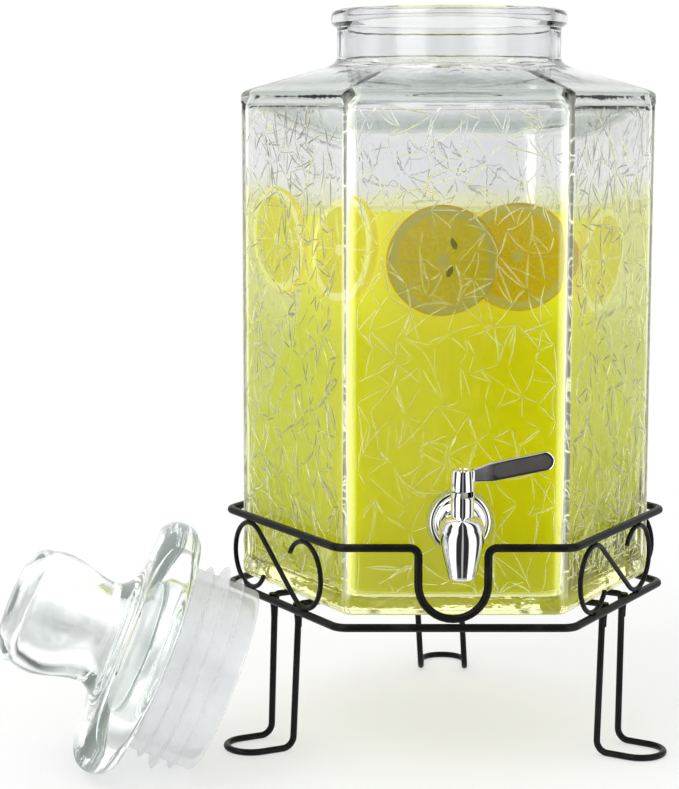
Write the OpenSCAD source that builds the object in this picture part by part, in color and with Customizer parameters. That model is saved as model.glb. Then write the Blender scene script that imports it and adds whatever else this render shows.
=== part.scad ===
// Glass beverage dispenser on a wire stand, with its lid lying on the table beside it.
// Origin: on the table, under the jar's axis. +X right, +Y back, +Z up, tap towards -Y. Millimetres.

/* [Jar] */
// Distance from the jar's axis to the middle of a flat face
jar_apothem = 110.8; // [100:0.1:125]
// Radius of the rounded upright edges
jar_edge_r = 7; // [4:0.5:12]
// Glass thickness of the side walls
jar_wall = 5.5; // [4:0.5:8]
// Glass thickness of the base
jar_base = 10; // [8:1:14]
// Height of the flat faces, from the underside to the shoulder
jar_body_h = 298; // [260:1:320]
// Rise of the sloped shoulder between the faces and the neck
shoulder_rise = 20; // [16:1:28]
// Outer radius of the neck
neck_r = 68; // [64:0.5:72]
// Bore radius of the neck
neck_bore_r = 62.3; // [58:0.1:64]
// Height of the neck and its bead, above the shoulder
neck_h = 32; // [26:1:40]
// Outer radius of the bead around the mouth
bead_r = 71.8; // [69:0.1:76]

/* [Contents] */
// Height of the lemonade's surface above the table
liquid_top = 330; // [260:1:340]
// Radius of a lemon slice
slice_r = 32.5; // [28:0.5:33]
// Thickness of a lemon slice
slice_t = 5.6; // [4:0.2:6]

/* [Stand] */
// Distance from the axis to a ring's wire along a corner
ring_corner_r = 135.5; // [132:0.5:150]
// Wire diameter of the two hexagonal rings
ring_wire = 4.8; // [4:0.2:6]
// Height of the upper ring's wire
upper_ring_z = 135.6; // [130:0.2:142]
// Height of the lower ring's wire
lower_ring_z = 88.8; // [84:0.2:92]
// Centreline radius of the rings' corner bends
ring_bend_r = 10; // [8:1:20]
// Wire diameter of the scrolls
scroll_wire = 3; // [2.5:0.1:3.5]
// Sideways offset of a scroll on its panel
scroll_shift = -5.2; // [-8:0.1:4]
// Distance from a scroll's middle to the centre of each lobe
scroll_reach = 33.5; // [32:0.5:36]
// Depth of the dip that the upper ring makes around the spout
dip_depth = 41.5; // [38:0.5:42]
// Distance from the dip's middle to its side wires
dip_half_w = 20; // [19:0.5:24]
// Sideways place of the dip
dip_x = -1.5; // [-3:0.1:4]

/* [Legs] */
// Wire diameter of a leg
leg_wire = 4; // [3.5:0.1:4.5]
// Distance between the two uprights of a leg
leg_w = 30; // [24:1:34]
// Distance from the axis to the foot of the uprights
foot_r = 114; // [108:0.5:122]
// Distance from the axis to the tip of a foot loop
foot_tip_r = 149.5; // [142:0.5:156]
// How far the feet are turned about the axis, compared with the rings
foot_twist = -2.7; // [-4:0.1:4]
// Distance from the axis to the middle of a support loop's inner bend
support_r = 46; // [40:1:60]

/* [Tap] */
// Sideways place of the tap
tap_x = 2.3; // [-2:0.1:4]
// Height of the hole that the tap's shank goes through
tap_z = 150; // [148:0.5:156]
// Distance from the jar's face to the tap's upright axis
tap_reach = 23; // [21:0.5:28]
// Radius of the ball at the middle of the tap
bulb_r = 12.9; // [12:0.1:14]
// Outer radius of the spout's mouth
spout_r = 7.5; // [7.2:0.1:9]
// Bore radius of the spout's mouth
spout_bore_r = 5.8; // [5:0.1:6]
// Distance from the shank's axis down to the spout's mouth
spout_drop = 28.5; // [26:0.5:32]
// Radius of the upright barrel
barrel_r = 6.75; // [6.5:0.05:8]
// Distance from the shank's axis up to the top of the barrel
barrel_rise = 21.4; // [20:0.2:24]
// Height of the turning cap on the barrel
cap_h = 12.2; // [11:0.2:14]
// Length of the lever from the tap's upright axis to the middle of its round end
lever_len = 47; // [36:1:60]
// Upward slope of the lever
lever_rise = 11.6; // [6:0.2:16]
// Outer radius of the clear washer
washer_r = 19.3; // [18:0.1:20]
// Outer radius of the collar
collar_r = 17.7; // [16:0.1:17.9]

/* [Lid] */
// Outer radius of the lid's flange
flange_r = 77.2; // [74:0.1:80]
// Thickness of the lid's flange
flange_t = 26; // [22:1:28]
// Radius of the glass plug under the flange
plug_r = 50; // [46:0.5:54]
// Outer radius of the gasket's sleeve
gasket_r = 55.6; // [53:0.1:58]
// Length of the gasket's sleeve
gasket_h = 42; // [36:1:44]
// Outer radius of the gasket's widest fin
fin_r = 62.6; // [60:0.1:64]
// Height of the knob above the flange
knob_h = 65; // [56:1:72]
// Largest radius of the knob
knob_r = 36.3; // [34:0.1:38]
// Radius of the knob's neck
knob_neck_r = 30.4; // [28:0.1:32]
// Place of the middle of the flange, to the left of the stand
lid_x = -185; // [-230:1:-184]
// Place of the lid's axis, in front of the jar's axis
lid_y = -96; // [-130:1:-92]

/* [Hidden] */
$fn = 64;
eps = 0.05;

glass = [0.86, 0.93, 0.9, 0.35];
black_wire = [0.06, 0.06, 0.06];
chrome = [0.82, 0.83, 0.85];
rubber = [0.15, 0.15, 0.16];
lemon = [0.95, 0.82, 0.2];

hull_fn = 32;
joint_bead = 0.1;
joint_gap = 0.1;
bead_turn = 35;
ring_r = ring_wire / 2;
leg_r = leg_wire / 2;
scroll_r = scroll_wire / 2;
ring_apothem = ring_corner_r * sqrt(3) / 2;
weld = 0.4;

// Levels of the jar
jar_z = lower_ring_z + leg_wire + 0.8;
floor_z = jar_z + jar_base;
edge_z = jar_z + jar_body_h;
neck_z = edge_z + shoulder_rise;
mouth_z = neck_z + neck_h;
inner_apothem = jar_apothem - jar_wall;
inner_edge_r = jar_edge_r - jar_wall / 2;
base_chamfer = 3.5;
shoulder_fillet = 4;
lip = 0.3;
bead_h = 10.6;
liquid_gap = 0.3;

// A lemon slice's place: bearing of the face it lies behind, distance from the axis, way along
// the face, height, lean
slice_places = [
    [210, 99, -27, 307, 4],
    [210, 90, 31, 305, -5],
    [270, 99, -8, 299, 3],
    [270, 84, 36, 301, -4],
    [330, 99, -4, 297, 5]
];

// Levels and places of the tap
tap_y = -jar_apothem - tap_reach;
outer_washer_t = 2;
inner_washer_t = 2;
collar_t = 2.4;
shank_r = 7;
shank_hole_r = 7.4;
nut_r = 12.5;
nut_t = 8;
shank_bore_r = 4.5;
thread_fit = 0.05;
shank_end_y = -inner_apothem + inner_washer_t + nut_t + 3;
barrel_top = tap_z + barrel_rise;
barrel_bore_r = 5;
chamber_r = 6.4;
seat_z = tap_z - 10;
seat_hole_r = 4;
spout_z = tap_z - spout_drop;
cap_z = barrel_top + 0.5;
cap_r = barrel_r + 0.1;
cap_bore_r = 5.4;
cap_roof = 2;
slot_depth = 2.8;
slot_margin = 9;
lug_half_angle = 5;
stem_r = 3;
stem_top = cap_z + 5;
seal_h = 4;
seal_r = 5.5;
seal_socket = 2;
ring_gland_z = tap_z + 12;
o_ring_minor = 0.97;

// Sizes of the lever
lever_t = 4;
blade_r = 5.45;
blade_neck = 4;
inlay_r = 4;
inlay_t = 1;
inlay_start = 21.3;
lever_z = cap_z + 7.6;

// The lid lies on its flange and on the rim of its plug, so its slope follows from its sizes
flange_edge_r = 12.5;
plug_edge_r = 2;
lid_cavity_wall = 7;
flange_mid = flange_t / 2;
lean_across = flange_r - flange_edge_r - (gasket_r - plug_edge_r);
lean_drop = flange_edge_r - plug_edge_r;
lean_along = flange_mid + gasket_h - plug_edge_r;
lid_lean = asin(lean_drop / norm([lean_across, lean_along])) + atan(lean_across / lean_along);
lid_z = (flange_r - flange_edge_r) * cos(lid_lean) + flange_edge_r;
lid_yaw = 5.3;

// ---- shared shapes ----

// Turns a drawing made along +Z to run along the given direction
module along(run) {
    rotate([0, acos(run.z / norm(run)), atan2(run.y, run.x)])
        children();
}

// A straight round wire between two points
module rod(from, to, r) {
    translate(from)
        along(to - from)
            cylinder(h = norm(to - from), r = r);
}

// A bent round wire in the XY plane, with the given centreline radius
module bend(radius, r, start, sweep) {
    rotate([0, 0, start])
        rotate_extrude(angle = sweep)
            translate([radius, 0])
                circle(r = r);
}

// A straight wire whose ends run on into bends: a small bead bridges each joint
module beaded_rod(from, to, r) {
    trim = joint_gap * (to - from) / norm(to - from);
    rod(from + trim, to - trim, r);
    for (end = [from, to])
        translate(end)
            along(to - from)
                rotate([0, 0, bead_turn])
                    sphere(r = r + joint_bead);
}

// A bend that stops just short of the beads at its ends
module trimmed_bend(radius, r, start, sweep) {
    trim = joint_gap / radius * 180 / PI;
    bend(radius, r, start + trim, sweep - 2 * trim);
}

// Turns a drawing made in the XY plane to stand upright in the XZ plane
module upright() {
    rotate([90, 0, 0])
        children();
}

// Puts a drawing made for the front face on the face with the given bearing
module on_face(bearing) {
    rotate([0, 0, bearing - 270])
        children();
}

// A hexagon with a flat face to the front and round corners
module rounded_hexagon(apothem, r) {
    reach = (apothem - r) * 2 / sqrt(3);
    function corner(k) = reach * [cos(60 * k), sin(60 * k)];
    function side_point(k, a) = corner(k) + r * [cos(60 * k + a), sin(60 * k + a)];
    polygon([for (k = [0:5]) for (a = [-30, 30]) side_point(k, a)]);
    for (k = [0:5])
        translate(corner(k))
            circle(r = r);
}

module thin_hexagon(apothem, r, z) {
    translate([0, 0, z])
        linear_extrude(height = 0.01)
            rounded_hexagon(apothem, r, $fn = hull_fn);
}

module thin_disc(r, z) {
    translate([0, 0, z])
        cylinder(h = 0.01, r = r, $fn = 2 * hull_fn);
}

// ---- stand ----

// One straight side of a ring, from one way along the face to another
module ring_side(bearing, z, from_x, to_x) {
    on_face(bearing)
        beaded_rod([from_x, -ring_apothem, z], [to_x, -ring_apothem, z], ring_r);
}

side_half = (ring_apothem - ring_bend_r) * tan(30);

module ring_corners(z) {
    reach = (ring_apothem - ring_bend_r) * 2 / sqrt(3);
    for (k = [0:5])
        translate([reach * cos(60 * k), reach * sin(60 * k), z])
            trimmed_bend(ring_bend_r, ring_r, 60 * k - 30, 60);
}

module dip() {
    top_bend_r = 5;
    arc_z = upper_ring_z - dip_depth + dip_half_w;
    for (side = [-1, 1]) {
        translate([dip_x + side * (dip_half_w + top_bend_r), -ring_apothem, upper_ring_z - top_bend_r])
            upright()
                trimmed_bend(top_bend_r, ring_r, side < 0 ? 0 : 90, 90);
        beaded_rod(
            [dip_x + side * dip_half_w, -ring_apothem, arc_z],
            [dip_x + side * dip_half_w, -ring_apothem, upper_ring_z - top_bend_r],
            ring_r
        );
        ring_side(
            270, upper_ring_z,
            side < 0 ? -side_half : dip_x + dip_half_w + top_bend_r,
            side < 0 ? dip_x - dip_half_w - top_bend_r : side_half
        );
    }
    translate([dip_x, -ring_apothem, arc_z])
        upright()
            trimmed_bend(dip_half_w, ring_r, 180, 180);
}

module upper_ring() {
    color(black_wire) {
        ring_corners(upper_ring_z);
        for (k = [0:4])
            ring_side(60 * k - 30, upper_ring_z, -side_half, side_half);
        dip();
    }
}

module lower_ring() {
    color(black_wire) {
        ring_corners(lower_ring_z);
        for (k = [0:5])
            ring_side(60 * k - 30, lower_ring_z, -side_half, side_half);
    }
}

// An N-shaped scroll: two round lobes joined by a straight diagonal, welded between the rings
module scroll(bearing) {
    gap = (upper_ring_z - lower_ring_z) / 2 - ring_r;
    lobe_r = gap - scroll_r + weld;
    slope = asin(lobe_r / scroll_reach);
    start = 90 - slope;
    hook_end = 328;
    tangent = [lobe_r * cos(start) - scroll_reach, lobe_r * sin(start), 0];
    color(black_wire)
        on_face(bearing)
            translate([scroll_shift, -ring_apothem, (upper_ring_z + lower_ring_z) / 2])
                upright() {
                    for (half = [0, 180])
                        rotate([0, 0, half])
                            translate([-scroll_reach, 0, 0])
                                trimmed_bend(lobe_r, scroll_r, start, hook_end - start);
                    beaded_rod(tangent, -tangent, scroll_r);
                }
}

module scroll_left_front() { scroll(210); }
module scroll_right_front() { scroll(330); }
module scroll_right_back() { scroll(30); }
module scroll_back() { scroll(90); }
module scroll_left_back() { scroll(150); }

// One leg: a closed loop of wire with its foot on the table and its inner end under the jar
module leg(bearing) {
    floor_bend_r = 7;
    top_bend_r = 3;
    half = leg_w / 2;
    foot_z = leg_r + joint_bead;
    top_r = ring_apothem - ring_r - leg_r + weld;
    support_z = jar_z - leg_r - joint_bead;
    weld_bead_r = 3.2;
    function turned(p, a) = [p.x * cos(a) - p.y * sin(a), p.x * sin(a) + p.y * cos(a), p.z];
    color(black_wire) {
        rotate([0, 0, bearing + foot_twist]) {
            for (side = [-1, 1]) {
                beaded_rod(
                    [foot_r + floor_bend_r, side * half, foot_z],
                    [foot_tip_r - half, side * half, foot_z],
                    leg_r
                );
                translate([foot_r + floor_bend_r, side * half, foot_z + floor_bend_r])
                    upright()
                        trimmed_bend(floor_bend_r, leg_r, 180, 90);
            }
            translate([foot_tip_r - half, 0, foot_z])
                trimmed_bend(half, leg_r, -90, 180);
        }
        for (side = [-1, 1])
            beaded_rod(
                turned([foot_r, side * half, foot_z + floor_bend_r], bearing + foot_twist),
                turned([top_r, side * half, support_z - top_bend_r], bearing),
                leg_r
            );
        rotate([0, 0, bearing]) {
            for (side = [-1, 1]) {
                translate([top_r - top_bend_r, side * half, support_z - top_bend_r])
                    upright()
                        trimmed_bend(top_bend_r, leg_r, 0, 90);
                beaded_rod(
                    [support_r, side * half, support_z],
                    [top_r - top_bend_r, side * half, support_z],
                    leg_r
                );
                translate([top_r, side * half, support_z - top_bend_r])
                    rotate([0, 0, bead_turn])
                        sphere(r = weld_bead_r);
            }
            translate([support_r, 0, support_z])
                trimmed_bend(half, leg_r, 90, 180);
        }
    }
}

module leg_left() { leg(210); }
module leg_right() { leg(330); }
module leg_back() { leg(90); }

// ---- jar and contents ----

module jar_outside() {
    hull() {
        thin_hexagon(jar_apothem - base_chamfer, jar_edge_r - 1, jar_z);
        thin_hexagon(jar_apothem - lip, jar_edge_r, jar_z + base_chamfer);
    }
    translate([0, 0, jar_z + base_chamfer - lip])
        linear_extrude(height = jar_body_h - base_chamfer + lip)
            rounded_hexagon(jar_apothem, jar_edge_r);
    hull() {
        thin_hexagon(jar_apothem - lip, jar_edge_r, edge_z - lip);
        thin_hexagon(jar_apothem - lip - 0.3 * shoulder_fillet, jar_edge_r, edge_z + 0.6 * shoulder_fillet);
        thin_hexagon(jar_apothem - lip - 1.5 * shoulder_fillet, jar_edge_r, edge_z + 1.2 * shoulder_fillet);
        thin_disc(neck_r + 3, neck_z - 1);
    }
    rotate_extrude()
        neck_profile();
}

// Half section of the neck and of the bead around the mouth, which is round on its outside
module neck_profile() {
    half = bead_h / 2;
    core_r = neck_bore_r - 4;
    translate([core_r, edge_z + shoulder_fillet])
        square([neck_r - core_r, mouth_z - half - edge_z - shoulder_fillet]);
    translate([core_r, mouth_z - bead_h])
        square([bead_r - half - core_r, bead_h]);
    translate([bead_r - half, mouth_z - half])
        circle(r = half);
}

module jar_inside() {
    hull() {
        thin_hexagon(inner_apothem - 4, inner_edge_r, floor_z);
        thin_hexagon(inner_apothem - lip, inner_edge_r, floor_z + 4);
    }
    translate([0, 0, floor_z + 4 - lip])
        linear_extrude(height = edge_z - floor_z - 6 + lip)
            rounded_hexagon(inner_apothem, inner_edge_r);
    hull() {
        thin_hexagon(inner_apothem - lip, inner_edge_r, edge_z - 2 - lip);
        thin_disc(neck_bore_r - 0.2, neck_z - 3);
    }
    translate([0, 0, neck_z - 6])
        cylinder(h = neck_h + 8, r = neck_bore_r);
}

// The hole in the front face that the tap's shank goes through
module shank_axis() {
    translate([tap_x, 0, tap_z])
        upright()
            children();
}

module jar() {
    color(glass)
        difference() {
            jar_outside();
            jar_inside();
            shank_axis()
                translate([0, 0, inner_apothem - 2])
                    cylinder(h = jar_wall + 4, r = shank_hole_r);
        }
}

// Places a slice behind its face, standing nearly parallel to the glass
module slice_place(place) {
    on_face(place[0])
        translate([place[2], -place[1], place[3]])
            rotate([90 + place[4], 0, 0])
                children();
}

module slice_blank(spare) {
    cylinder(h = slice_t + 2 * spare, r = slice_r + spare, center = true);
}

module lemonade() {
    pocket = 0.2;
    color([0.85, 0.85, 0.15, 0.6])
        difference() {
            translate([0, 0, floor_z + liquid_gap])
                linear_extrude(height = liquid_top - floor_z - liquid_gap)
                    rounded_hexagon(inner_apothem - liquid_gap, inner_edge_r);
            hull_bottom();
            for (place = slice_places)
                slice_place(place)
                    slice_blank(pocket);
            shank_axis()
                translate([0, 0, -shank_end_y - 1])
                    cylinder(h = inner_apothem + shank_end_y + 3, r = nut_r + 2);
        }
}

// What the chamfered floor of the jar takes away from the lemonade
module hull_bottom() {
    difference() {
        translate([0, 0, floor_z - 1])
            cylinder(h = 5 + liquid_gap, r = inner_apothem * 1.3);
        hull() {
            thin_hexagon(inner_apothem - 4 - liquid_gap, inner_edge_r, floor_z);
            thin_hexagon(inner_apothem - liquid_gap, inner_edge_r, floor_z + 4 + 2 * liquid_gap);
        }
    }
}

// A round of lemon with a slightly rounded rind
module lemon_slice(index) {
    rind_r = slice_t / 2;
    color(lemon)
        slice_place(slice_places[index]) {
            cylinder(h = slice_t, r = slice_r - rind_r, center = true);
            rotate_extrude()
                translate([slice_r - rind_r, 0])
                    circle(r = rind_r);
        }
}

module lemon_slice_far_left() { lemon_slice(0); }
module lemon_slice_left() { lemon_slice(1); }
module lemon_slice_front() { lemon_slice(2); }
module lemon_slice_middle() { lemon_slice(3); }
module lemon_slice_right() { lemon_slice(4); }

// ---- tap ----

module tap_axis() {
    translate([tap_x, tap_y, 0])
        children();
}

// An arc-shaped block around the tap's upright axis
module arc_block(inner, outer, z, h, start, sweep) {
    translate([0, 0, z])
        rotate([0, 0, start])
            rotate_extrude(angle = sweep)
                translate([inner, 0])
                    square([outer - inner, h]);
}

module tap_body() {
    neck_flange_r = 9;
    throat_z = seat_z - 4;
    color(chrome)
        difference() {
            union() {
                tap_axis() {
                    translate([0, 0, tap_z])
                        cylinder(h = barrel_rise, r = barrel_r);
                    translate([0, 0, tap_z + 0.5])
                        sphere(r = bulb_r);
                    translate([0, 0, spout_z])
                        cylinder(h = spout_drop, r1 = spout_r, r2 = bulb_r - 0.3);
                }
                shank_axis() {
                    translate([0, 0, jar_apothem + outer_washer_t + collar_t])
                        cylinder(h = tap_reach - outer_washer_t - collar_t, r = neck_flange_r);
                    translate([0, 0, -shank_end_y])
                        cylinder(h = -tap_y + shank_end_y, r = shank_r);
                }
            }
            tap_axis() {
                translate([0, 0, tap_z + 4])
                    cylinder(h = barrel_rise, r = barrel_bore_r);
                translate([0, 0, seat_z])
                    cylinder(h = tap_z + 5.5 - seat_z, r = chamber_r);
                translate([0, 0, throat_z - 1])
                    cylinder(h = 8, r = seat_hole_r);
                translate([0, 0, spout_z - 1])
                    cylinder(h = throat_z - spout_z + 1, r = spout_bore_r);
                arc_block(
                    barrel_bore_r - 1, barrel_r + 1, barrel_top - slot_depth, slot_depth + 1,
                    -90 - slot_margin, 90 + 2 * slot_margin
                );
            }
            shank_axis()
                translate([0, 0, -shank_end_y - 1])
                    cylinder(h = -tap_y + shank_end_y + 1, r = shank_bore_r);
        }
}

// A flat ring around the shank; its far face is at the given distance from the jar's axis
module shank_ring(r, bore, far, t) {
    shank_axis()
        translate([0, 0, far - t])
            difference() {
                cylinder(h = t, r = r);
                translate([0, 0, -1])
                    cylinder(h = t + 2, r = bore);
            }
}

module tap_collar() {
    far = jar_apothem + outer_washer_t + collar_t;
    color(chrome)
        shank_ring(collar_r, shank_r + thread_fit, far, collar_t);
}

module outer_washer() {
    color(glass)
        shank_ring(washer_r, shank_r + thread_fit, jar_apothem + outer_washer_t, outer_washer_t);
}

module inner_washer() {
    color(rubber)
        shank_ring(nut_r + 1, shank_r + thread_fit, inner_apothem, inner_washer_t);
}

module shank_nut() {
    color([0.9, 0.9, 0.88])
        shank_axis()
            translate([0, 0, inner_apothem - inner_washer_t - nut_t])
                difference() {
                    cylinder(h = nut_t, r = nut_r, $fn = 6);
                    translate([0, 0, -1])
                        cylinder(h = nut_t + 2, r = shank_r + thread_fit);
                }
}

module handle_cap() {
    edge = 1;
    color(chrome)
        tap_axis() {
            difference() {
                union() {
                    translate([0, 0, cap_z])
                        cylinder(h = cap_h - edge, r = cap_r);
                    translate([0, 0, cap_z + cap_h - edge])
                        cylinder(h = edge, r1 = cap_r, r2 = cap_r - edge);
                }
                translate([0, 0, cap_z - 1])
                    cylinder(h = cap_h - cap_roof + 1, r = cap_bore_r);
            }
            arc_block(
                cap_bore_r + 0.1, barrel_r - 0.25, barrel_top - slot_depth + 0.4, slot_depth + 0.6,
                -lug_half_angle, 2 * lug_half_angle
            );
        }
}

// Side view of the lever's blade: narrow at the cap, widening to a round end
module blade_outline() {
    shoulder_s = 15;
    polygon([
        [4, -blade_neck], [8, -blade_neck], [shoulder_s, -0.9 * blade_r], [lever_len, -blade_r],
        [lever_len, blade_r], [shoulder_s, 0.9 * blade_r], [8, blade_neck], [4, blade_neck]
    ]);
    translate([lever_len, 0])
        circle(r = blade_r);
}

module inlay_outline(spare) {
    end = lever_len - 0.7;
    translate([inlay_start, -inlay_r - spare])
        square([end - inlay_start, 2 * (inlay_r + spare)]);
    for (s = [inlay_start, end])
        translate([s, 0])
            circle(r = inlay_r + spare);
}

module on_blade() {
    tap_axis()
        translate([0, 0, lever_z])
            rotate([0, -lever_rise, 0])
                upright()
                    children();
}

module lever_arm() {
    color(chrome)
        difference() {
            on_blade()
                translate([0, 0, -lever_t / 2])
                    linear_extrude(height = lever_t)
                        blade_outline();
            on_blade()
                translate([0, 0, lever_t / 2 - inlay_t])
                    linear_extrude(height = inlay_t + 1)
                        inlay_outline(eps);
            tap_axis()
                translate([0, 0, cap_z - 1])
                    cylinder(h = cap_h + 4, r = cap_r);
        }
}

module lever_inlay() {
    color([0.2, 0.2, 0.2])
        on_blade()
            translate([0, 0, lever_t / 2 - inlay_t])
                linear_extrude(height = inlay_t)
                    inlay_outline(0);
}

module valve_stem() {
    collar_t = 1;
    land_r = 4.6;
    ring_h = 2 * o_ring_minor + 0.1;
    color([0.85, 0.85, 0.82])
        tap_axis()
            difference() {
                union() {
                    translate([0, 0, seat_z + seal_socket])
                        cylinder(h = stem_top - seat_z - seal_socket, r = stem_r);
                    for (z = [ring_gland_z - ring_h / 2 - collar_t, ring_gland_z + ring_h / 2])
                        translate([0, 0, z])
                            cylinder(h = collar_t, r = land_r);
                }
                translate([-land_r - 1, 0, stem_top - 2.5])
                    rotate([0, 90, 0])
                        cylinder(h = 2 * land_r + 2, r = 1);
            }
}

module plunger_seal() {
    color(rubber)
        tap_axis()
            translate([0, 0, seat_z + eps])
                difference() {
                    cylinder(h = seal_h, r = seal_r);
                    translate([0, 0, seal_socket - eps])
                        cylinder(h = seal_h, r = stem_r);
                }
}

module stem_o_ring() {
    color(rubber)
        tap_axis()
            translate([0, 0, ring_gland_z])
                bend(stem_r + 0.03 + o_ring_minor, o_ring_minor, 0, 360);
}

module cross_pin() {
    pin_half = 4.6;
    color(chrome)
        tap_axis()
            translate([-pin_half, 0, stem_top - 2.5])
                rotate([0, 90, 0])
                    cylinder(h = 2 * pin_half, r = 1);
}

// ---- lid ----

// Puts the lid, drawn with its knob up and its flange's underside at zero, where it lies
module lid_place() {
    translate([lid_x, lid_y, lid_z])
        rotate([0, 0, lid_yaw])
            rotate([0, lid_lean - 90, 0])
                translate([0, 0, -flange_mid])
                    children();
}

// Half width of the knob and its foot at a height above the flange
knob_foot_r = 41;
knob_steps = 14;
function knob_width(s) =
    s < 0.18 ? knob_neck_r + (knob_foot_r - knob_neck_r) * pow(1 - s / 0.18, 2)
    : s < 0.66 ? knob_neck_r + (knob_r - knob_neck_r) * (1 - cos(180 * (s - 0.18) / 0.48)) / 2
    : s < 0.86 ? knob_r - 2.4 * pow((s - 0.66) / 0.2, 2)
    : (knob_r - 2.4) * sqrt(max(0, 1 - pow((s - 0.86) / 0.14, 2) * 0.5));

module knob_profile(inset, low) {
    polygon(concat(
        [[0, low]],
        [for (i = [0:knob_steps]) [
            knob_width(i / knob_steps) - inset,
            flange_t + i / knob_steps * (knob_h - inset)
        ]],
        [[0, flange_t + knob_h - inset + (inset > 0 ? 0 : 2)]]
    ));
}

module lid_outside_profile() {
    translate([0, 0])
        square([flange_r - flange_edge_r, flange_t]);
    translate([flange_r - flange_edge_r, flange_edge_r])
        circle(r = flange_edge_r);
    translate([flange_r - flange_edge_r, flange_t - flange_edge_r])
        circle(r = flange_edge_r);
    translate([flange_r - 2 * flange_edge_r, flange_edge_r])
        square([2 * flange_edge_r, flange_t - 2 * flange_edge_r]);
    translate([0, -gasket_h + plug_edge_r])
        square([plug_r, gasket_h]);
    knob_profile(0, flange_t - 1);
}

// The hollow inside the lid, open at the bottom of the plug
module lid_inside_profile() {
    cavity_r = plug_r - lid_cavity_wall;
    translate([0, -gasket_h - 1])
        square([cavity_r, gasket_h + 1 + flange_t - lid_cavity_wall]);
    translate([0, flange_t - lid_cavity_wall - 1])
        square([knob_neck_r - lid_cavity_wall, lid_cavity_wall + 2]);
    knob_profile(lid_cavity_wall, flange_t);
}

module lid() {
    color(glass)
        lid_place()
            rotate_extrude()
                difference() {
                    lid_outside_profile();
                    lid_inside_profile();
                }
}

module lid_gasket() {
    fin_t = 1.6;
    sleeve_top = -2;
    fins = [[-11, 0.5], [-20, 1], [-30, 0.5]];
    color([0.95, 0.95, 0.95, 0.7])
        lid_place()
            rotate_extrude() {
                translate([plug_r + eps, -gasket_h + plug_edge_r])
                    square([gasket_r - plug_r - eps, gasket_h - plug_edge_r + sleeve_top]);
                translate([plug_r + eps, -gasket_h])
                    square([gasket_r - plug_r - eps - plug_edge_r, plug_edge_r + 1]);
                translate([gasket_r - plug_edge_r, -gasket_h + plug_edge_r])
                    circle(r = plug_edge_r);
                for (fin = fins)
                    translate([gasket_r - 1, fin[0] - fin_t / 2])
                        square([(fin_r - gasket_r) * fin[1] + 1, fin_t]);
            }
}

upper_ring();
lower_ring();
scroll_left_front();
scroll_right_front();
scroll_right_back();
scroll_back();
scroll_left_back();
leg_left();
leg_right();
leg_back();
jar();
lemonade();
lemon_slice_far_left();
lemon_slice_left();
lemon_slice_front();
lemon_slice_middle();
lemon_slice_right();
tap_body();
tap_collar();
outer_washer();
inner_washer();
shank_nut();
handle_cap();
lever_arm();
lever_inlay();
valve_stem();
plunger_seal();
stem_o_ring();
cross_pin();
lid();
lid_gasket();
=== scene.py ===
"""Visual model of a hexagonal glass drink dispenser: jar, drink, tap, wire stand and stopper lid."""

import logging
import math
import random
from dataclasses import dataclass, field
from enum import Enum
from typing import Any, Callable, Iterable, Optional, Sequence, Union

import bmesh
import bpy
from mathutils import Matrix, Vector


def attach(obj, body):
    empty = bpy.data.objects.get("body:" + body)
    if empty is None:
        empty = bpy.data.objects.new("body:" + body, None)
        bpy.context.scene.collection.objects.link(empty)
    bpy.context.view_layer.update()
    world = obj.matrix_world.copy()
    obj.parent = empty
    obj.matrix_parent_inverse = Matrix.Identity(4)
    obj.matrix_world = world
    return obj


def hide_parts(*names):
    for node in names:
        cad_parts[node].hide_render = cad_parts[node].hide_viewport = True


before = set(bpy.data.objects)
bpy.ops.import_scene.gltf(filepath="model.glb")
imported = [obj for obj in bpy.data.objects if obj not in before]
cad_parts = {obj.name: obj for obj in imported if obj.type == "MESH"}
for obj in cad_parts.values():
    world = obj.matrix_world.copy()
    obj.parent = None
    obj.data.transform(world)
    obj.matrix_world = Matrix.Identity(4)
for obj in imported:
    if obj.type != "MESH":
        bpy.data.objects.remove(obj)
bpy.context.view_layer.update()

log = logging.getLogger("dispenser")

MM = 0.001

Ring = list[Vector]
Colour = tuple[float, float, float]
Number = Union[int, float]


class Body(Enum):
    """Moving bodies that pieces ride on."""

    STAND = "stand"
    JAR = "jar"
    HANDLE = "handle"
    STEM = "stem"
    LID = "lid"


class Slot(Enum):
    """Finishes that the record names."""

    WIRE = "black_wire"
    GLASS = "jar_glass"
    DRINK = "lemonade"
    LEMON = "lemon"
    CHROME = "chrome"
    WASHER = "clear_washer"
    INLAY = "inlay_plastic"
    GASKET = "gasket"


# ---------------------------------------------------------------------------
# Shader graphs
# ---------------------------------------------------------------------------


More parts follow.
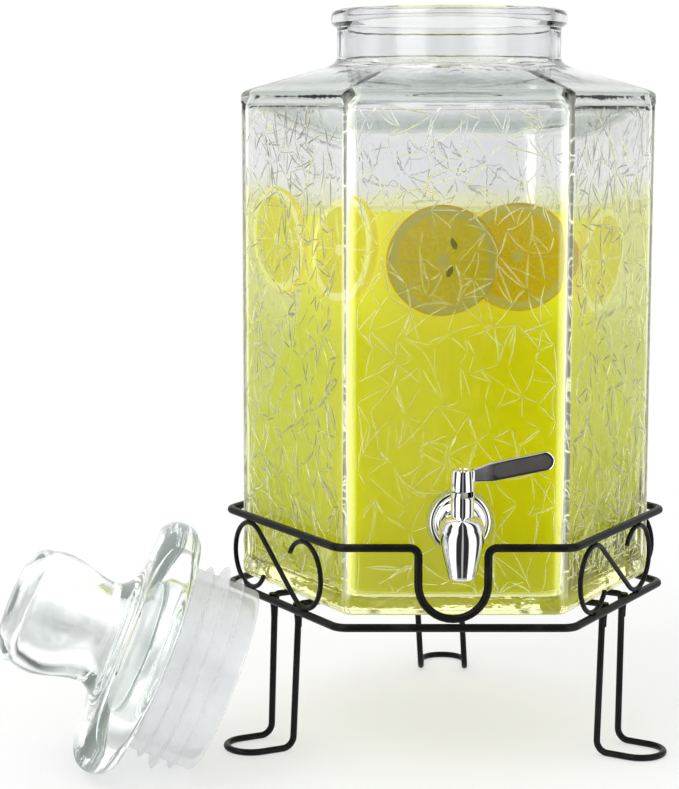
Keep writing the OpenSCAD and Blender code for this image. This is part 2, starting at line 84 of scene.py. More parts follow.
class Wave:
    """A number that varies over a surface, so that shader maths reads as Python sums."""

    def __init__(self, look: "Look", socket: bpy.types.NodeSocket) -> None:
        """Keeps the graph and the socket that gives the number.

        Args:
            look: The graph that owns the socket.
            socket: The output socket.
        """
        self.look = look
        self.socket = socket

    def _sum(self, operation: str, first: Any, second: Any) -> "Wave":
        """Adds one Math node.

        Args:
            operation: The Math node's operation.
            first: Its first value or wave.
            second: Its second value or wave.

        Returns:
            The result as a wave.
        """
        node = self.look.add("ShaderNodeMath", {"operation": operation}, {0: first, 1: second})
        return Wave(self.look, node.outputs[0])

    def __add__(self, other: Any) -> "Wave":
        """Adds."""
        return self._sum("ADD", self, other)

    __radd__ = __add__

    def __sub__(self, other: Any) -> "Wave":
        """Subtracts."""
        return self._sum("SUBTRACT", self, other)

    def __rsub__(self, other: Any) -> "Wave":
        """Subtracts this wave from a number."""
        return self._sum("SUBTRACT", other, self)

    def __mul__(self, other: Any) -> "Wave":
        """Multiplies."""
        return self._sum("MULTIPLY", self, other)

    __rmul__ = __mul__

    def __truediv__(self, other: Any) -> "Wave":
        """Divides."""
        return self._sum("DIVIDE", self, other)

    def __pow__(self, other: Any) -> "Wave":
        """Raises to a power."""
        return self._sum("POWER", self, other)

    def __abs__(self) -> "Wave":
        """Drops the sign."""
        return self._sum("ABSOLUTE", self, 0.0)

    def call(self, operation: str, other: Any = 0.0) -> "Wave":
        """Any other Math operation on this wave and a second value."""
        return self._sum(operation, self, other)

    def step(self, low: float, high: float) -> "Wave":
        """A smooth rise from 0 at low to 1 at high.

        Args:
            low: Where the rise starts.
            high: Where it ends.

        Returns:
            The rise as a wave.
        """
        node = self.look.add(
            "ShaderNodeMapRange",
            {"interpolation_type": "SMOOTHSTEP"},
            {"Value": self, "From Min": low, "From Max": high},
        )
        return Wave(self.look, node.outputs[0])


class Look:
    """One material's or the world's shader graph."""

    def __init__(self, tree: bpy.types.NodeTree) -> None:
        """Empties a node tree.

        Args:
            tree: The tree to build in.
        """
        self.tree = tree
        tree.nodes.clear()

    def add(self, kind: str, settings: dict[str, Any], sockets: dict[Any, Any]) -> bpy.types.Node:
        """Adds a node, sets its settings, then fills its sockets.

        Args:
            kind: The node's type.
            settings: Properties of the node; "stops" fills a colour ramp.
            sockets: Values, sockets or waves for its inputs, by name or index.

        Returns:
            The new node.
        """
        node = self.tree.nodes.new(kind)
        for key, value in settings.items():
            if key == "stops":
                self._fill_ramp(node.color_ramp, value)
            else:
                setattr(node, key, value)
        for key, value in sockets.items():
            target = node.inputs[key]
            if isinstance(value, Wave):
                self.tree.links.new(value.socket, target)
            elif isinstance(value, bpy.types.NodeSocket):
                self.tree.links.new(value, target)
            else:
                target.default_value = value
        return node

    @staticmethod
    def _fill_ramp(ramp: bpy.types.ColorRamp, stops: Sequence[tuple[float, Colour]]) -> None:
        """Puts colour stops on a ramp.

        Args:
            ramp: The ramp.
            stops: Position and colour of each stop, in order.
        """
        while len(ramp.elements) < len(stops):
            ramp.elements.new(0.5)
        for element, (position, colour) in zip(ramp.elements, stops):
            element.position = position
            element.color = (*colour, 1.0)

    def wave(self, kind: str, settings: dict[str, Any], sockets: dict[Any, Any], output: Any = 0) -> Wave:
        """Adds a node and gives one of its outputs as a wave."""
        return Wave(self, self.add(kind, settings, sockets).outputs[output])

    def place(self) -> bpy.types.NodeSocket:
        """The surface point in the object's own axes, in metres."""
        return self.add("ShaderNodeTexCoord", {}, {}).outputs["Object"]

    def parts(self, vector: bpy.types.NodeSocket) -> tuple[Wave, Wave, Wave]:
        """The three parts of a vector as waves."""
        node = self.add("ShaderNodeSeparateXYZ", {}, {0: vector})
        return Wave(self, node.outputs[0]), Wave(self, node.outputs[1]), Wave(self, node.outputs[2])

    def stretched(self, vector: bpy.types.NodeSocket, scale: Sequence[float]) -> bpy.types.NodeSocket:
        """A vector scaled along each axis."""
        return self.add("ShaderNodeMapping", {}, {"Vector": vector, "Scale": tuple(scale)}).outputs[0]

    def noise(self, vector: bpy.types.NodeSocket, scale: float, detail: float = 3.0) -> Wave:
        """Soft noise between 0 and 1."""
        return self.wave("ShaderNodeTexNoise", {}, {"Vector": vector, "Scale": scale, "Detail": detail})

    def blend(self, factor: Any, first: Any, second: Any) -> bpy.types.NodeSocket:
        """Mixes two colours.

        Args:
            factor: 0 gives the first colour and 1 the second.
            first: Colour or socket.
            second: Colour or socket.

        Returns:
            The mixed colour's socket.
        """
        colours = [(*c, 1.0) if isinstance(c, tuple) and len(c) == 3 else c for c in (first, second)]
        node = self.add(
            "ShaderNodeMix", {"data_type": "RGBA"}, {0: factor, 6: colours[0], 7: colours[1]}
        )
        return node.outputs[2]

    def bump(self, height: Wave, strength: float, distance: float) -> bpy.types.NodeSocket:
        """A normal from a height.

        Args:
            height: The height as a wave.
            strength: How strongly it tilts the normal.
            distance: Depth of a full step, in metres.

        Returns:
            The normal's socket.
        """
        node = self.add(
            "ShaderNodeBump", {}, {"Height": height, "Strength": strength, "Distance": distance}
        )
        return node.outputs[0]

    def surface(self, shader: bpy.types.NodeSocket) -> None:
        """Sends a shader to the material's output."""
        self.add("ShaderNodeOutputMaterial", {}, {"Surface": shader})

    def principled(self, sockets: dict[Any, Any]) -> bpy.types.NodeSocket:
        """A Principled shader with the given sockets.

        Args:
            sockets: Values, sockets or waves for its inputs, by name.

        Returns:
            The shader's socket.
        """
        ready = {
            key: (*value, 1.0) if isinstance(value, tuple) and len(value) == 3 and "Color" in key else value
            for key, value in sockets.items()
        }
        return self.add("ShaderNodeBsdfPrincipled", {}, ready).outputs[0]

    def coat(self, sockets: dict[Any, Any]) -> None:
        """Makes a Principled shader with the given sockets the material's surface."""
        self.surface(self.principled(sockets))


class Finish:
    """Base of every finish: builds its material once and hands it out."""

    label: str = "finish"

    def material(self) -> bpy.types.Material:
        """The finish as a Blender material, made on first use.

        Returns:
            The material.
        """
        made = bpy.data.materials.get(self.label)
        if made is None:
            made = bpy.data.materials.new(self.label)
            made.use_nodes = True
            self.paint(Look(made.node_tree))
        return made

    def paint(self, look: Look) -> None:
        """Builds the shader graph.

        Args:
            look: The empty graph.
        """
        raise NotImplementedError


@dataclass(frozen=True)
class WirePaint(Finish):
    """Satin black powder coat with a fine orange-peel grain."""

    label: str = "black powder coat"
    black: Colour = (0.0045, 0.0045, 0.005)
    worn: Colour = (0.014, 0.014, 0.015)

    def paint(self, look: Look) -> None:
        """Builds the shader graph.

        Args:
            look: The empty graph.
        """
        place = look.place()
        patches = look.noise(place, 60.0, 4.0)
        grain = look.noise(place, 1400.0, 2.0)
        look.coat(
            {
                "Base Color": look.blend(patches.step(0.45, 0.75), self.black, self.worn),
                "Roughness": 0.30 + patches * 0.12,
                "Specular IOR Level": 0.16,
                "Normal": look.bump(grain, 0.25, 0.00012),
            }
        )


@dataclass(frozen=True)
class PressedGlass(Finish):
    """Clear pressed glass, slightly wavy, with a faint green-grey body colour and an optional painted glow of light.
    """

    label: str = "pressed glass"
    clear: Colour = (0.985, 0.99, 0.99)
    tinted: Colour = (0.955, 0.975, 0.97)
    waviness: float = 0.0007
    # glow and its tint are painted light: an emission that makes the glass glow though it is no lamp.
    glow: float = 0.0
    painted_glow_tint: Colour = (0.86, 1.0, 0.93)

    def paint(self, look: Look) -> None:
        """Builds the shader graph.

        Args:
            look: The empty graph.
        """
        place = look.place()
        broad = look.noise(place, 26.0, 2.0)
        fine = look.noise(look.stretched(place, (1.0, 1.0, 0.45)), 120.0, 2.0)
        look.coat(
            {
                "Base Color": look.blend(broad.step(0.3, 0.7), self.clear, self.tinted),
                "Roughness": fine.step(0.55, 0.8) * 0.02,
                "IOR": 1.47,
                "Specular IOR Level": 0.35,
                "Transmission Weight": 1.0,
                # Painted light: the glass's glow.
                "Emission Color": self.painted_glow_tint,
                "Emission Strength": self.glow,
                "Normal": look.bump(broad + fine * 0.35, 0.5, self.waviness),
            }
        )


@dataclass(frozen=True)
class JarGlass(Finish):
    """The jar's glass: front and back faces greyed with painted shade, pale upright edges lit by a painted highlight
    glow, a green-grey shoulder that is partly the glass's own tint and partly painted shade, a neck greyed with
    painted shade and a painted glow at the foot.
    """

    label: str = "jar glass"
    side: Colour = (0.985, 0.99, 0.985)
    # front is painted shade: the front and back faces are drawn greyer than the clear side faces.
    front: Colour = (0.885, 0.895, 0.905)
    # neck is painted shade: the round neck is drawn greyer than the clear side faces.
    neck: Colour = (0.90, 0.905, 0.915)
    film: Colour = (0.90, 0.91, 0.52)
    # shoulder is partly the thick glass's green tint and partly painted shade for the dark bands that bent light gives
    # there.
    shoulder: Colour = (0.50, 0.56, 0.53)
    # Painted highlight: a glow along the upright edges below the shoulder.
    painted_edge_highlight: Colour = (0.24, 0.245, 0.21)
    # Painted light: a faint yellow glow in the foot of the glass.
    painted_foot_glow: Colour = (0.085, 0.085, 0.008)
    waviness: float = 0.0006

    def paint(self, look: Look) -> None:
        """Builds the shader graph.

        Args:
            look: The empty graph.
        """
        place = look.place()
        x, y, z = look.parts(place)
        broad = look.noise(place, 26.0, 2.0)
        fine = look.noise(look.stretched(place, (1.0, 1.0, 0.45)), 120.0, 2.0)
        sides_without_painted_shade = abs(x).step(0.050, 0.062)
        above = z.step(0.3905, 0.3935)
        painted_neck_shade_mask = z.step(0.399, 0.407)
        # Painted shade: front and back faces greyer, side faces clear.
        colour = look.blend(sides_without_painted_shade, self.front, self.side)
        # Green-grey shoulder: partly the glass's own tint, partly painted shade.
        colour = look.blend(above * (1.0 - painted_neck_shade_mask), colour, self.shoulder)
        # Painted shade on the neck.
        colour = look.blend(painted_neck_shade_mask, colour, self.neck)
        wet = 1.0 - (z + fine * 0.016).step(0.334, 0.358)
        colour = look.blend(wet * 0.7, colour, self.film)
        # Mask along the six upright edges below the shoulder, for the painted edge highlight.
        sixths = y.call("ARCTAN2", x) * (3.0 / math.pi)
        from_edge = abs((sixths + 0.5).call("FRACT") - 0.5)
        edge = (1.0 - from_edge.step(0.016, 0.030)) * (1.0 - above)
        # Painted light: the foot below the drink glows yellow.
        foot = 1.0 - z.step(0.1025, 0.106)
        # Painted light: the upright edges' highlight and the foot's glow, drawn as emission.
        glow = look.blend(edge * 0.9, (0.0, 0.0, 0.0), self.painted_edge_highlight)
        glow = look.blend(foot * (0.5 + fine * 0.5), glow, self.painted_foot_glow)
        look.coat(
            {
                "Base Color": colour,
                "Roughness": fine.step(0.55, 0.8) * 0.02,
                "IOR": 1.47,
                "Specular IOR Level": 0.3,
                "Transmission Weight": 1.0,
                # Painted light: edge highlight and foot glow.
                "Emission Color": glow,
                "Emission Strength": 1.0,
                "Normal": look.bump(broad + fine * 0.35, 0.5, self.waviness),
            }
        )


@dataclass(frozen=True)
class DrinkSkin(Finish):
    """The outer, thinly clouded layer of the drink; paler towards its surface and its corners, which is painted light,
    and lit by a painted glow.
    """

    label: str = "lemonade skin"
    deep: Colour = (0.70, 0.69, 0.005)
    # pale is painted light: the side faces of the drink are drawn paler than the front and back.
    pale: Colour = (0.70, 0.75, 0.05)
    top: float = 0.33
    thickness: float = 0.28

    def paint(self, look: Look) -> None:
        """Builds the shader graph.

        Args:
            look: The empty graph.
        """
        place = look.place()
        x, y, z = look.parts(place)
        clouds = look.noise(look.stretched(place, (1.0, 1.0, 0.35)), 26.0, 4.0)
        # Painted light: side faces paler and more clouded.
        sides = abs(x).step(0.05, 0.1)
        # Painted light: a pale band just below the surface.
        painted_top_light = (z + clouds * 0.012).step(self.top - 0.03, self.top + 0.004)
        colour = look.blend(sides, self.deep, self.pale)
        colour = look.blend(painted_top_light * 0.75, colour, (0.86, 0.87, 0.34))
        fruit = z.step(0.245, 0.27)
        alpha = self.thickness + clouds * 0.12 + sides * 0.14 * (1.0 - fruit) - fruit * 0.12 - painted_top_light * 0.04
        look.coat(
            {
                "Base Color": colour,
                "Roughness": 0.12 + clouds * 0.1,
                "IOR": 1.33,
                "Specular IOR Level": 0.1,
                "Alpha": alpha,
                # Painted light: the drink glows though it is no lamp.
                "Emission Color": colour,
                "Emission Strength": 0.3,
            }
        )


@dataclass(frozen=True)
class DrinkCore(Finish):
    """The clouded middle of the drink, which nothing shows through; its paler sides and top and its glow are painted
    light, and it is darker towards the bottom.
    """

    label: str = "lemonade core"
    deep: Colour = (0.67, 0.655, 0.003)
    # pale is painted light: the sides of the core are drawn paler.
    pale: Colour = (0.64, 0.67, 0.015)
    bottom: float = 0.104
    top: float = 0.33

    def paint(self, look: Look) -> None:
        """Builds the shader graph.

        Args:
            look: The empty graph.
        """
        place = look.place()
        x, y, z = look.parts(place)
        clouds = look.noise(look.stretched(place, (1.0, 1.0, 0.3)), 16.0, 4.0)
        # Painted light: paler sides.
        sides = abs(x).step(0.035, 0.085)
        # Painted light: paler towards the top.
        rise = (z + clouds * 0.02).step(self.top - 0.09, self.top)
        # Darker towards the bottom of the drink.
        sunk = 1.0 - (z + clouds * 0.03).step(self.bottom, self.bottom + 0.07)
        colour = look.blend(sides, self.deep, self.pale)
        colour = look.blend(rise * 0.55, colour, (0.80, 0.80, 0.16))
        colour = look.blend(sunk * 0.7, colour, (0.40, 0.42, 0.030))
        look.coat(
            {
                "Base Color": colour,
                "Roughness": 0.7 + clouds * 0.2,
                "Specular IOR Level": 0.1,
                # Painted light: the core glows though it is no lamp.
                "Emission Color": colour,
                "Emission Strength": 0.55,
            }
        )


@dataclass(frozen=True)
class LemonFlesh(Finish):
    """A cut lemon slice: peel, pith ring, segments with juice streaks, membranes and pale core, lit by a painted glow.
    """

    label: str = "lemon slice"
    flesh: Colour = (0.66, 0.50, 0.007)
    juice: Colour = (0.80, 0.64, 0.014)
    pith: Colour = (0.58, 0.52, 0.24)
    peel: Colour = (0.70, 0.40, 0.008)
    segments: int = 10
    # glow is painted light: the slice glows though it is no lamp.
    glow: float = 0.25

    def paint(self, look: Look) -> None:
        """Builds the shader graph.

        Args:
            look: The empty graph.
        """
        plan = look.add("ShaderNodeUVMap", {"uv_map": "plan"}, {}).outputs[0]
        u, v, _ = look.parts(plan)
        across = u - 0.5
        along = v - 0.5
        wobble = look.noise(plan, 5.0, 3.0) * 0.05
        reach = (across * across + along * along) ** 0.5 * 2.0 + wobble - 0.025
        turn = along.call("ARCTAN2", across) * (self.segments / (2.0 * math.pi))
        fold = abs(turn.call("FRACT") - 0.5) * 2.0
        membrane = (fold + wobble).step(0.86, 0.97) * (1.0 - reach.step(0.74, 0.80))
        streaks = look.wave(
            "ShaderNodeTexNoise",
            {},
            {"Vector": look.stretched(plan, (1.0, 1.0, 1.0)), "Scale": 48.0, "Detail": 5.0, "Distortion": 1.6},
        )
        colour = look.blend(streaks.step(0.35, 0.68), self.flesh, self.juice)
        colour = look.blend(membrane * 0.55, colour, self.pith)
        colour = look.blend(1.0 - reach.step(0.07, 0.14), colour, self.pith)
        colour = look.blend(reach.step(0.78, 0.83), colour, self.pith)
        colour = look.blend(reach.step(0.93, 0.97), colour, self.peel)
        look.coat(
            {
                "Base Color": colour,
                "Roughness": 0.32 + streaks * 0.25,
                # Painted light: the slice's glow.
                "Emission Color": colour,
                "Emission Strength": self.glow,
                "Normal": look.bump(streaks, 0.5, 0.0006),
            }
        )


@dataclass(frozen=True)
class PipSkin(Finish):
    """Brown lemon pip."""

    label: str = "lemon pip"

    def paint(self, look: Look) -> None:
        """Builds the shader graph.

        Args:
            look: The empty graph.
        """
        grain = look.noise(look.place(), 500.0, 3.0)
        look.coat(
            {
                "Base Color": look.blend(grain, (0.10, 0.055, 0.012), (0.26, 0.17, 0.04)),
                "Roughness": 0.4 + grain * 0.2,
            }
        )


@dataclass(frozen=True)
class ChromePlate(Finish):
    """Bright chrome with faint wiping marks."""

    label: str = "bright chrome"

    def paint(self, look: Look) -> None:
        """Builds the shader graph.

        Args:
            look: The empty graph.
        """
        place = look.place()
        marks = look.noise(look.stretched(place, (1.0, 1.0, 4.0)), 160.0, 4.0)
        swell = look.noise(place, 45.0, 1.0)
        look.coat(
            {
                "Base Color": look.blend(swell, (0.80, 0.80, 0.81), (0.90, 0.90, 0.90)),
                "Metallic": 1.0,
                "Roughness": 0.035 + marks.step(0.5, 0.8) * 0.05,
                "Normal": look.bump(swell, 0.35, 0.0005),
            }
        )


@dataclass(frozen=True)
class DarkInlay(Finish):
    """Dark grey moulded insert with a fine matte grain."""

    label: str = "dark grey insert"

    def paint(self, look: Look) -> None:
        """Builds the shader graph.

        Args:
            look: The empty graph.
        """
        place = look.place()
        grain = look.noise(place, 2600.0, 2.0)
        cloud = look.noise(place, 90.0, 3.0)
        look.coat(
            {
                "Base Color": look.blend(cloud, (0.040, 0.038, 0.038), (0.075, 0.070, 0.068)),
                "Roughness": 0.42 + grain * 0.2,
                "Normal": look.bump(grain, 0.5, 0.0001),
            }
        )


@dataclass(frozen=True)
class SoftClear(Finish):
    """Soft see-through plastic for the washer under the tap's collar."""

    label: str = "clear soft plastic"

    def paint(self, look: Look) -> None:
        """Builds the shader graph.

        Args:
            look: The empty graph.
        """
        haze = look.noise(look.place(), 140.0, 3.0)
        look.coat(
            {
                "Base Color": look.blend(haze, (0.93, 0.95, 0.88), (0.80, 0.83, 0.74)),
                "Roughness": 0.12 + haze * 0.15,
                "IOR": 1.42,
                "Transmission Weight": 0.85,
            }
        )


@dataclass(frozen=True)
class GasketPlastic(Finish):
    """Milky, half see-through soft plastic of the lid's sealing sleeve."""

    label: str = "milky soft plastic"

    def paint(self, look: Look) -> None:
        """Builds the shader graph.

        Args:
            look: The empty graph.
        """
        place = look.place()
        haze = look.noise(place, 40.0, 3.0)
        streaks = look.noise(look.stretched(place, (0.3, 1.0, 1.0)), 220.0, 2.0)
        look.coat(
            {
                "Base Color": look.blend(haze, (0.84, 0.84, 0.87), (0.93, 0.93, 0.95)),
                "Roughness": 0.28 + streaks * 0.15,
                "IOR": 1.42,
                "Alpha": 0.32 + haze * 0.18,
                "Normal": look.bump(streaks, 0.3, 0.0003),
            }
        )


@dataclass(frozen=True)
class Moulded(Finish):
    """Plain moulded part: nut, rubber seal or steel pin, told apart by colour and shine."""

    label: str = "moulded"
    low: Colour = (0.6, 0.6, 0.6)
    high: Colour = (0.7, 0.7, 0.7)
    rough: float = 0.5
    metal: float = 0.0

    def paint(self, look: Look) -> None:
        """Builds the shader graph.

        Args:
            look: The empty graph.
        """
        place = look.place()
        grain = look.noise(place, 900.0, 3.0)
        look.coat(
            {
                "Base Color": look.blend(grain, self.low, self.high),
                "Metallic": self.metal,
                "Roughness": self.rough + grain * 0.15,
                "Normal": look.bump(grain, 0.2, 0.0001),
            }
        )


# ---------------------------------------------------------------------------
# Shaping by hand
# ---------------------------------------------------------------------------


def at(x: Number, y: Number, z: Number) -> Vector:
    """A point given in millimetres."""
    return Vector((x, y, z)) * MM


def clear_selection() -> None:
    """Leaves edit mode and deselects every object."""
    if bpy.context.object is not None and bpy.context.object.mode != "OBJECT":
        bpy.ops.object.mode_set(mode="OBJECT")
    bpy.ops.object.select_all(action="DESELECT")


def select_only(piece: bpy.types.Object) -> None:
    """Makes one object the only selected and the active one.

    Args:
        piece: The object.
    """
    clear_selection()
    piece.select_set(True)
    bpy.context.view_layer.objects.active = piece


def dress(piece: bpy.types.Object, *finishes: Finish) -> bpy.types.Object:
    """Puts finishes on a piece's material slots.

    Args:
        piece: The piece.
        finishes: One finish for each slot, in order.

    Returns:
        The piece.
    """
    piece.data.materials.clear()
    for finish in finishes:
        piece.data.materials.append(finish.material())
    return piece


def smooth(piece: bpy.types.Object, degrees: float = 32.0) -> bpy.types.Object:
    """Shades a piece smooth except over edges sharper than an angle.

    Args:
        piece: The piece.
        degrees: Edges sharper than this stay sharp.

    Returns:
        The piece.
    """
    select_only(piece)
    bpy.ops.object.shade_smooth_by_angle(angle=math.radians(degrees))
    return piece


def joined(pieces: Sequence[bpy.types.Object], name: str) -> bpy.types.Object:
    """Joins pieces into the first of them and names the result.

    Args:
        pieces: The pieces; the first takes in the rest.
        name: The result's name.

    Returns:
        The joined piece.
    """
    select_only(pieces[0])
    for piece in pieces[1:]:
        piece.select_set(True)
    bpy.ops.object.join()
    pieces[0].name = name
    pieces[0].data.name = name
    return pieces[0]


class Shaper:
    """A skin pulled from ring to ring by extruding a circle of points."""

    def __init__(self, name: str, ring: Ring) -> None:
        """Starts the skin with its first ring.

        Args:
            name: The piece's name.
            ring: The first ring's points.
        """
        clear_selection()
        bpy.ops.mesh.primitive_circle_add(vertices=len(ring), radius=0.01)
        self.piece = bpy.context.object
        self.piece.name = name
        self.piece.data.name = name
        bpy.ops.object.mode_set(mode="EDIT")
        bpy.ops.mesh.select_all(action="SELECT")
        self.order = list(range(len(ring)))
        self.first = list(self.order)
        self._settle(ring)

    def _settle(self, ring: Ring) -> None:
        """Moves the newest ring's points to their places.

        Args:
            ring: The places, in the order of the points.
        """
        shape = bmesh.from_edit_mesh(self.piece.data)
        shape.verts.ensure_lookup_table()
        for index, point in zip(self.order, ring):
            shape.verts[index].co = point
        bmesh.update_edit_mesh(self.piece.data)

    def pull(self, ring: Ring) -> None:
        """Extrudes the newest ring to a new one.

        Args:
            ring: The new ring's points, in the same order.
        """
        slots = {index: slot for slot, index in enumerate(self.order)}
        bpy.ops.mesh.extrude_region_move(TRANSFORM_OT_translate={"value": (0, 0, 0)})
        shape = bmesh.from_edit_mesh(self.piece.data)
        shape.verts.ensure_lookup_table()
        fresh = [0] * len(ring)
        for vert in shape.verts:
            if vert.select:
                ends = (edge.other_vert(vert).index for edge in vert.link_edges)
                fresh[slots[next(end for end in ends if end in slots)]] = vert.index
        self.order = fresh
        self._settle(ring)

    def _select(self, indices: Iterable[int]) -> None:
        """Selects just these points.

        Args:
            indices: The points' indices.
        """
        wanted = set(indices)
        bpy.ops.mesh.select_all(action="DESELECT")
        shape = bmesh.from_edit_mesh(self.piece.data)
        shape.verts.ensure_lookup_table()
        for index in wanted:
            shape.verts[index].select = True
        shape.select_flush(True)
        bmesh.update_edit_mesh(self.piece.data)

    def cap(self) -> None:
        """Closes the first and the newest ring with a face each."""
        for ring in (self.first, self.order):
            self._select(ring)
            bpy.ops.mesh.edge_face_add()

    def close(self) -> None:
        """Bridges the newest ring back to the first."""
        self._select(self.first + self.order)
        bpy.ops.mesh.bridge_edge_loops()

    def done(self, degrees: float = 32.0) -> bpy.types.Object:
        """Turns all faces outwards and leaves edit mode.

        Args:
            degrees: Edges sharper than this stay sharp.

        Returns:
            The finished piece.
        """
        bpy.ops.mesh.select_all(action="SELECT")
        bpy.ops.mesh.normals_make_consistent(inside=False)
        bpy.ops.object.mode_set(mode="OBJECT")
        return smooth(self.piece, degrees)


Profile = Sequence[tuple[float, float]]


def turned(
    name: str,
    profile: Profile,
    seat: Matrix,
    steps: int = 72,
    hollow: bool = False,
    trim: Optional[Callable[[float, float, float], float]] = None,
) -> bpy.types.Object:
    """A part turned on a lathe.

    Args:
        name: The piece's name.
        profile: Radius and height of each ring, in millimetres.
        seat: Puts the lathe's axis, its local Z, in place.
        steps: Points in a ring.
        hollow: True bridges the last ring to the first, and False caps both.
        trim: Gives a ring point's height from its radius, height and bearing.

    Returns:
        The finished piece.
    """
    skin: Optional[Shaper] = None
    for radius, height in profile:
        ring = []
        for index in range(steps):
            bearing = 2.0 * math.pi * index / steps
            lift = trim(radius, height, bearing) if trim else height
            ring.append(seat @ at(radius * math.cos(bearing), radius * math.sin(bearing), lift))
        if skin is None:
            skin = Shaper(name, ring)
        else:
            skin.pull(ring)
    skin.close() if hollow else skin.cap()
    return skin.done()


def arc(centre: tuple[float, float], radius: float, start: float, end: float, steps: int) -> list[tuple[float, float]]:
    """Points on an arc, in degrees from start to end.

    Args:
        centre: The arc's centre.
        radius: Its radius.
        start: Bearing of its first point.
        end: Bearing of its last point.
        steps: Spaces between its points.

    Returns:
        The points, with both ends.
    """
    return [
        (
            centre[0] + radius * math.cos(math.radians(start + (end - start) * i / steps)),
            centre[1] + radius * math.sin(math.radians(start + (end - start) * i / steps)),
        )
        for i in range(steps + 1)
    ]


class WireRun:
    """A length of round wire, drawn out straight and bent round formers."""

    def __init__(self, name: str, radius: float, start: Vector, heading: Vector, sides: int = 14) -> None:
        """Sets the wire's first section.

        Args:
            name: The piece's name.
            radius: The wire's radius in metres.
            start: Where the wire starts.
            heading: The way it runs.
            sides: Points round its section.
        """
        clear_selection()
        bpy.ops.mesh.primitive_circle_add(
            vertices=sides,
            radius=radius,
            location=start,
            rotation=heading.to_track_quat("Z", "Y").to_euler(),
        )
        self.piece = bpy.context.object
        self.piece.name = name
        self.piece.data.name = name
        bpy.ops.object.transform_apply(location=True, rotation=True, scale=True)
        bpy.ops.object.mode_set(mode="EDIT")
        bpy.ops.mesh.select_all(action="SELECT")
        self.sides = sides
        self.start = start.copy()
        self.place = start.copy()
        self.heading = heading.normalized()

    def straight(self, end: Vector) -> None:
        """Draws the wire out to a point.

        Args:
            end: Where the straight ends.
        """
        step = end - self.place
        if step.length > 1e-6:
            bpy.ops.mesh.extrude_region_move(TRANSFORM_OT_translate={"value": step})
            self.heading = step.normalized()
        self.place = end.copy()

    def widen(self, factor: float) -> None:
        """Scales the newest section."""
        bpy.ops.transform.resize(value=(factor, factor, factor), center_override=self.place)

    def bend(self, centre: Vector, axis: Vector, angle: float) -> None:
        """Bends the wire round a centre.

        Args:
            centre: The former's centre.
            axis: The bend's axis.
            angle: Right-handed angle in radians.
        """
        steps = max(3, math.ceil(abs(angle) / math.radians(10)))
        bpy.ops.mesh.spin(steps=steps, angle=-angle, center=centre, axis=axis)
        spun = Matrix.Rotation(angle, 3, axis)
        self.place = centre + spun @ (self.place - centre)
        self.heading = spun @ self.heading

    def follow(self, corners: Sequence[tuple[Vector, float]]) -> None:
        """Runs along straight legs with a rounded bend at each corner but the last.

        Args:
            corners: Each corner's point and bend radius, in metres.
        """
        for (corner, radius), (after, _) in zip(corners, corners[1:]):
            inward = (corner - self.place).normalized()
            outward = (after - corner).normalized()
            angle = inward.angle(outward)
            axis = inward.cross(outward).normalized()
            self.straight(corner - inward * radius * math.tan(angle / 2.0))
            self.bend(self.place + axis.cross(inward) * radius, axis, angle)
        self.straight(corners[-1][0])

    def _close_with(self, operator: Callable[[], Any], with_first: bool) -> None:
        """Selects end sections and runs an operator on them.

        Args:
            operator: What to run.
            with_first: True selects the first section too.
        """
        shape = bmesh.from_edit_mesh(self.piece.data)
        shape.verts.ensure_lookup_table()
        if with_first:
            for index in range(self.sides):
                shape.verts[index].select = True
            shape.select_flush(True)
            bmesh.update_edit_mesh(self.piece.data)
        operator()

    def loop_up(self) -> bpy.types.Object:
        """Joins the wire's end to its start, as butt-welded wire.

        Returns:
            The finished piece.
        """
        self._close_with(bpy.ops.mesh.bridge_edge_loops, True)
        return self._done()

    def cut_off(self) -> bpy.types.Object:
        """Ends the wire with a flat face at both ends.

        Returns:
            The finished piece.
        """
        bpy.ops.mesh.edge_face_add()
        bpy.ops.mesh.select_all(action="DESELECT")
        self._close_with(bpy.ops.mesh.edge_face_add, True)
        return self._done()

    def _done(self) -> bpy.types.Object:
        """Turns faces outwards, leaves edit mode and smooths.

        Returns:
            The finished piece.
        """
        bpy.ops.mesh.select_all(action="SELECT")
        bpy.ops.mesh.normals_make_consistent(inside=False)
        bpy.ops.object.mode_set(mode="OBJECT")
        return smooth(self.piece, 40.0)


def weld_bead(name: str, place: Vector, size: Sequence[float], seed: int) -> bpy.types.Object:
    """A small uneven blob of weld metal.

    Args:
        name: The bead's name.
        place: Its middle.
        size: Its half sizes along X, Y and Z, in metres.
        seed: Makes its unevenness.

    Returns:
        The bead.
    """
    clear_selection()
    bpy.ops.mesh.primitive_ico_sphere_add(subdivisions=3, radius=1.0, location=place, scale=tuple(size))
    bead = bpy.context.object
    bead.name = name
    bpy.ops.object.transform_apply(location=True, rotation=True, scale=True)
    bpy.ops.object.mode_set(mode="EDIT")
    bpy.ops.mesh.select_all(action="SELECT")
    bpy.ops.transform.vertex_random(offset=0.12 * min(size), seed=seed, uniform=0.0, normal=1.0)
    bpy.ops.mesh.vertices_smooth(factor=0.5, repeat=2)
    bpy.ops.object.mode_set(mode="OBJECT")
    return smooth(bead, 60.0)


def mount(
    piece: bpy.types.Object, body: Body, replaces: Sequence[str] = ()
) -> bpy.types.Object:
    """Hands a finished piece to the frame and reports it.

    Args:
        piece: The piece.
        body: The body that it rides on.
        replaces: CAD nodes that it stands for.

    Returns:
        The piece.
    """
    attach(piece, body.value)
    if replaces:
        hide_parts(*replaces)
    log.info("%s rides on %s with %d faces", piece.name, body.value, len(piece.data.polygons))
    return piece


def face_turn(bearing: float) -> Matrix:
    """Turns the front face's plan to the face at a bearing."""
    return Matrix.Rotation(math.radians(bearing - 270.0), 4, "Z")


# ---------------------------------------------------------------------------
# Wire stand
# ---------------------------------------------------------------------------


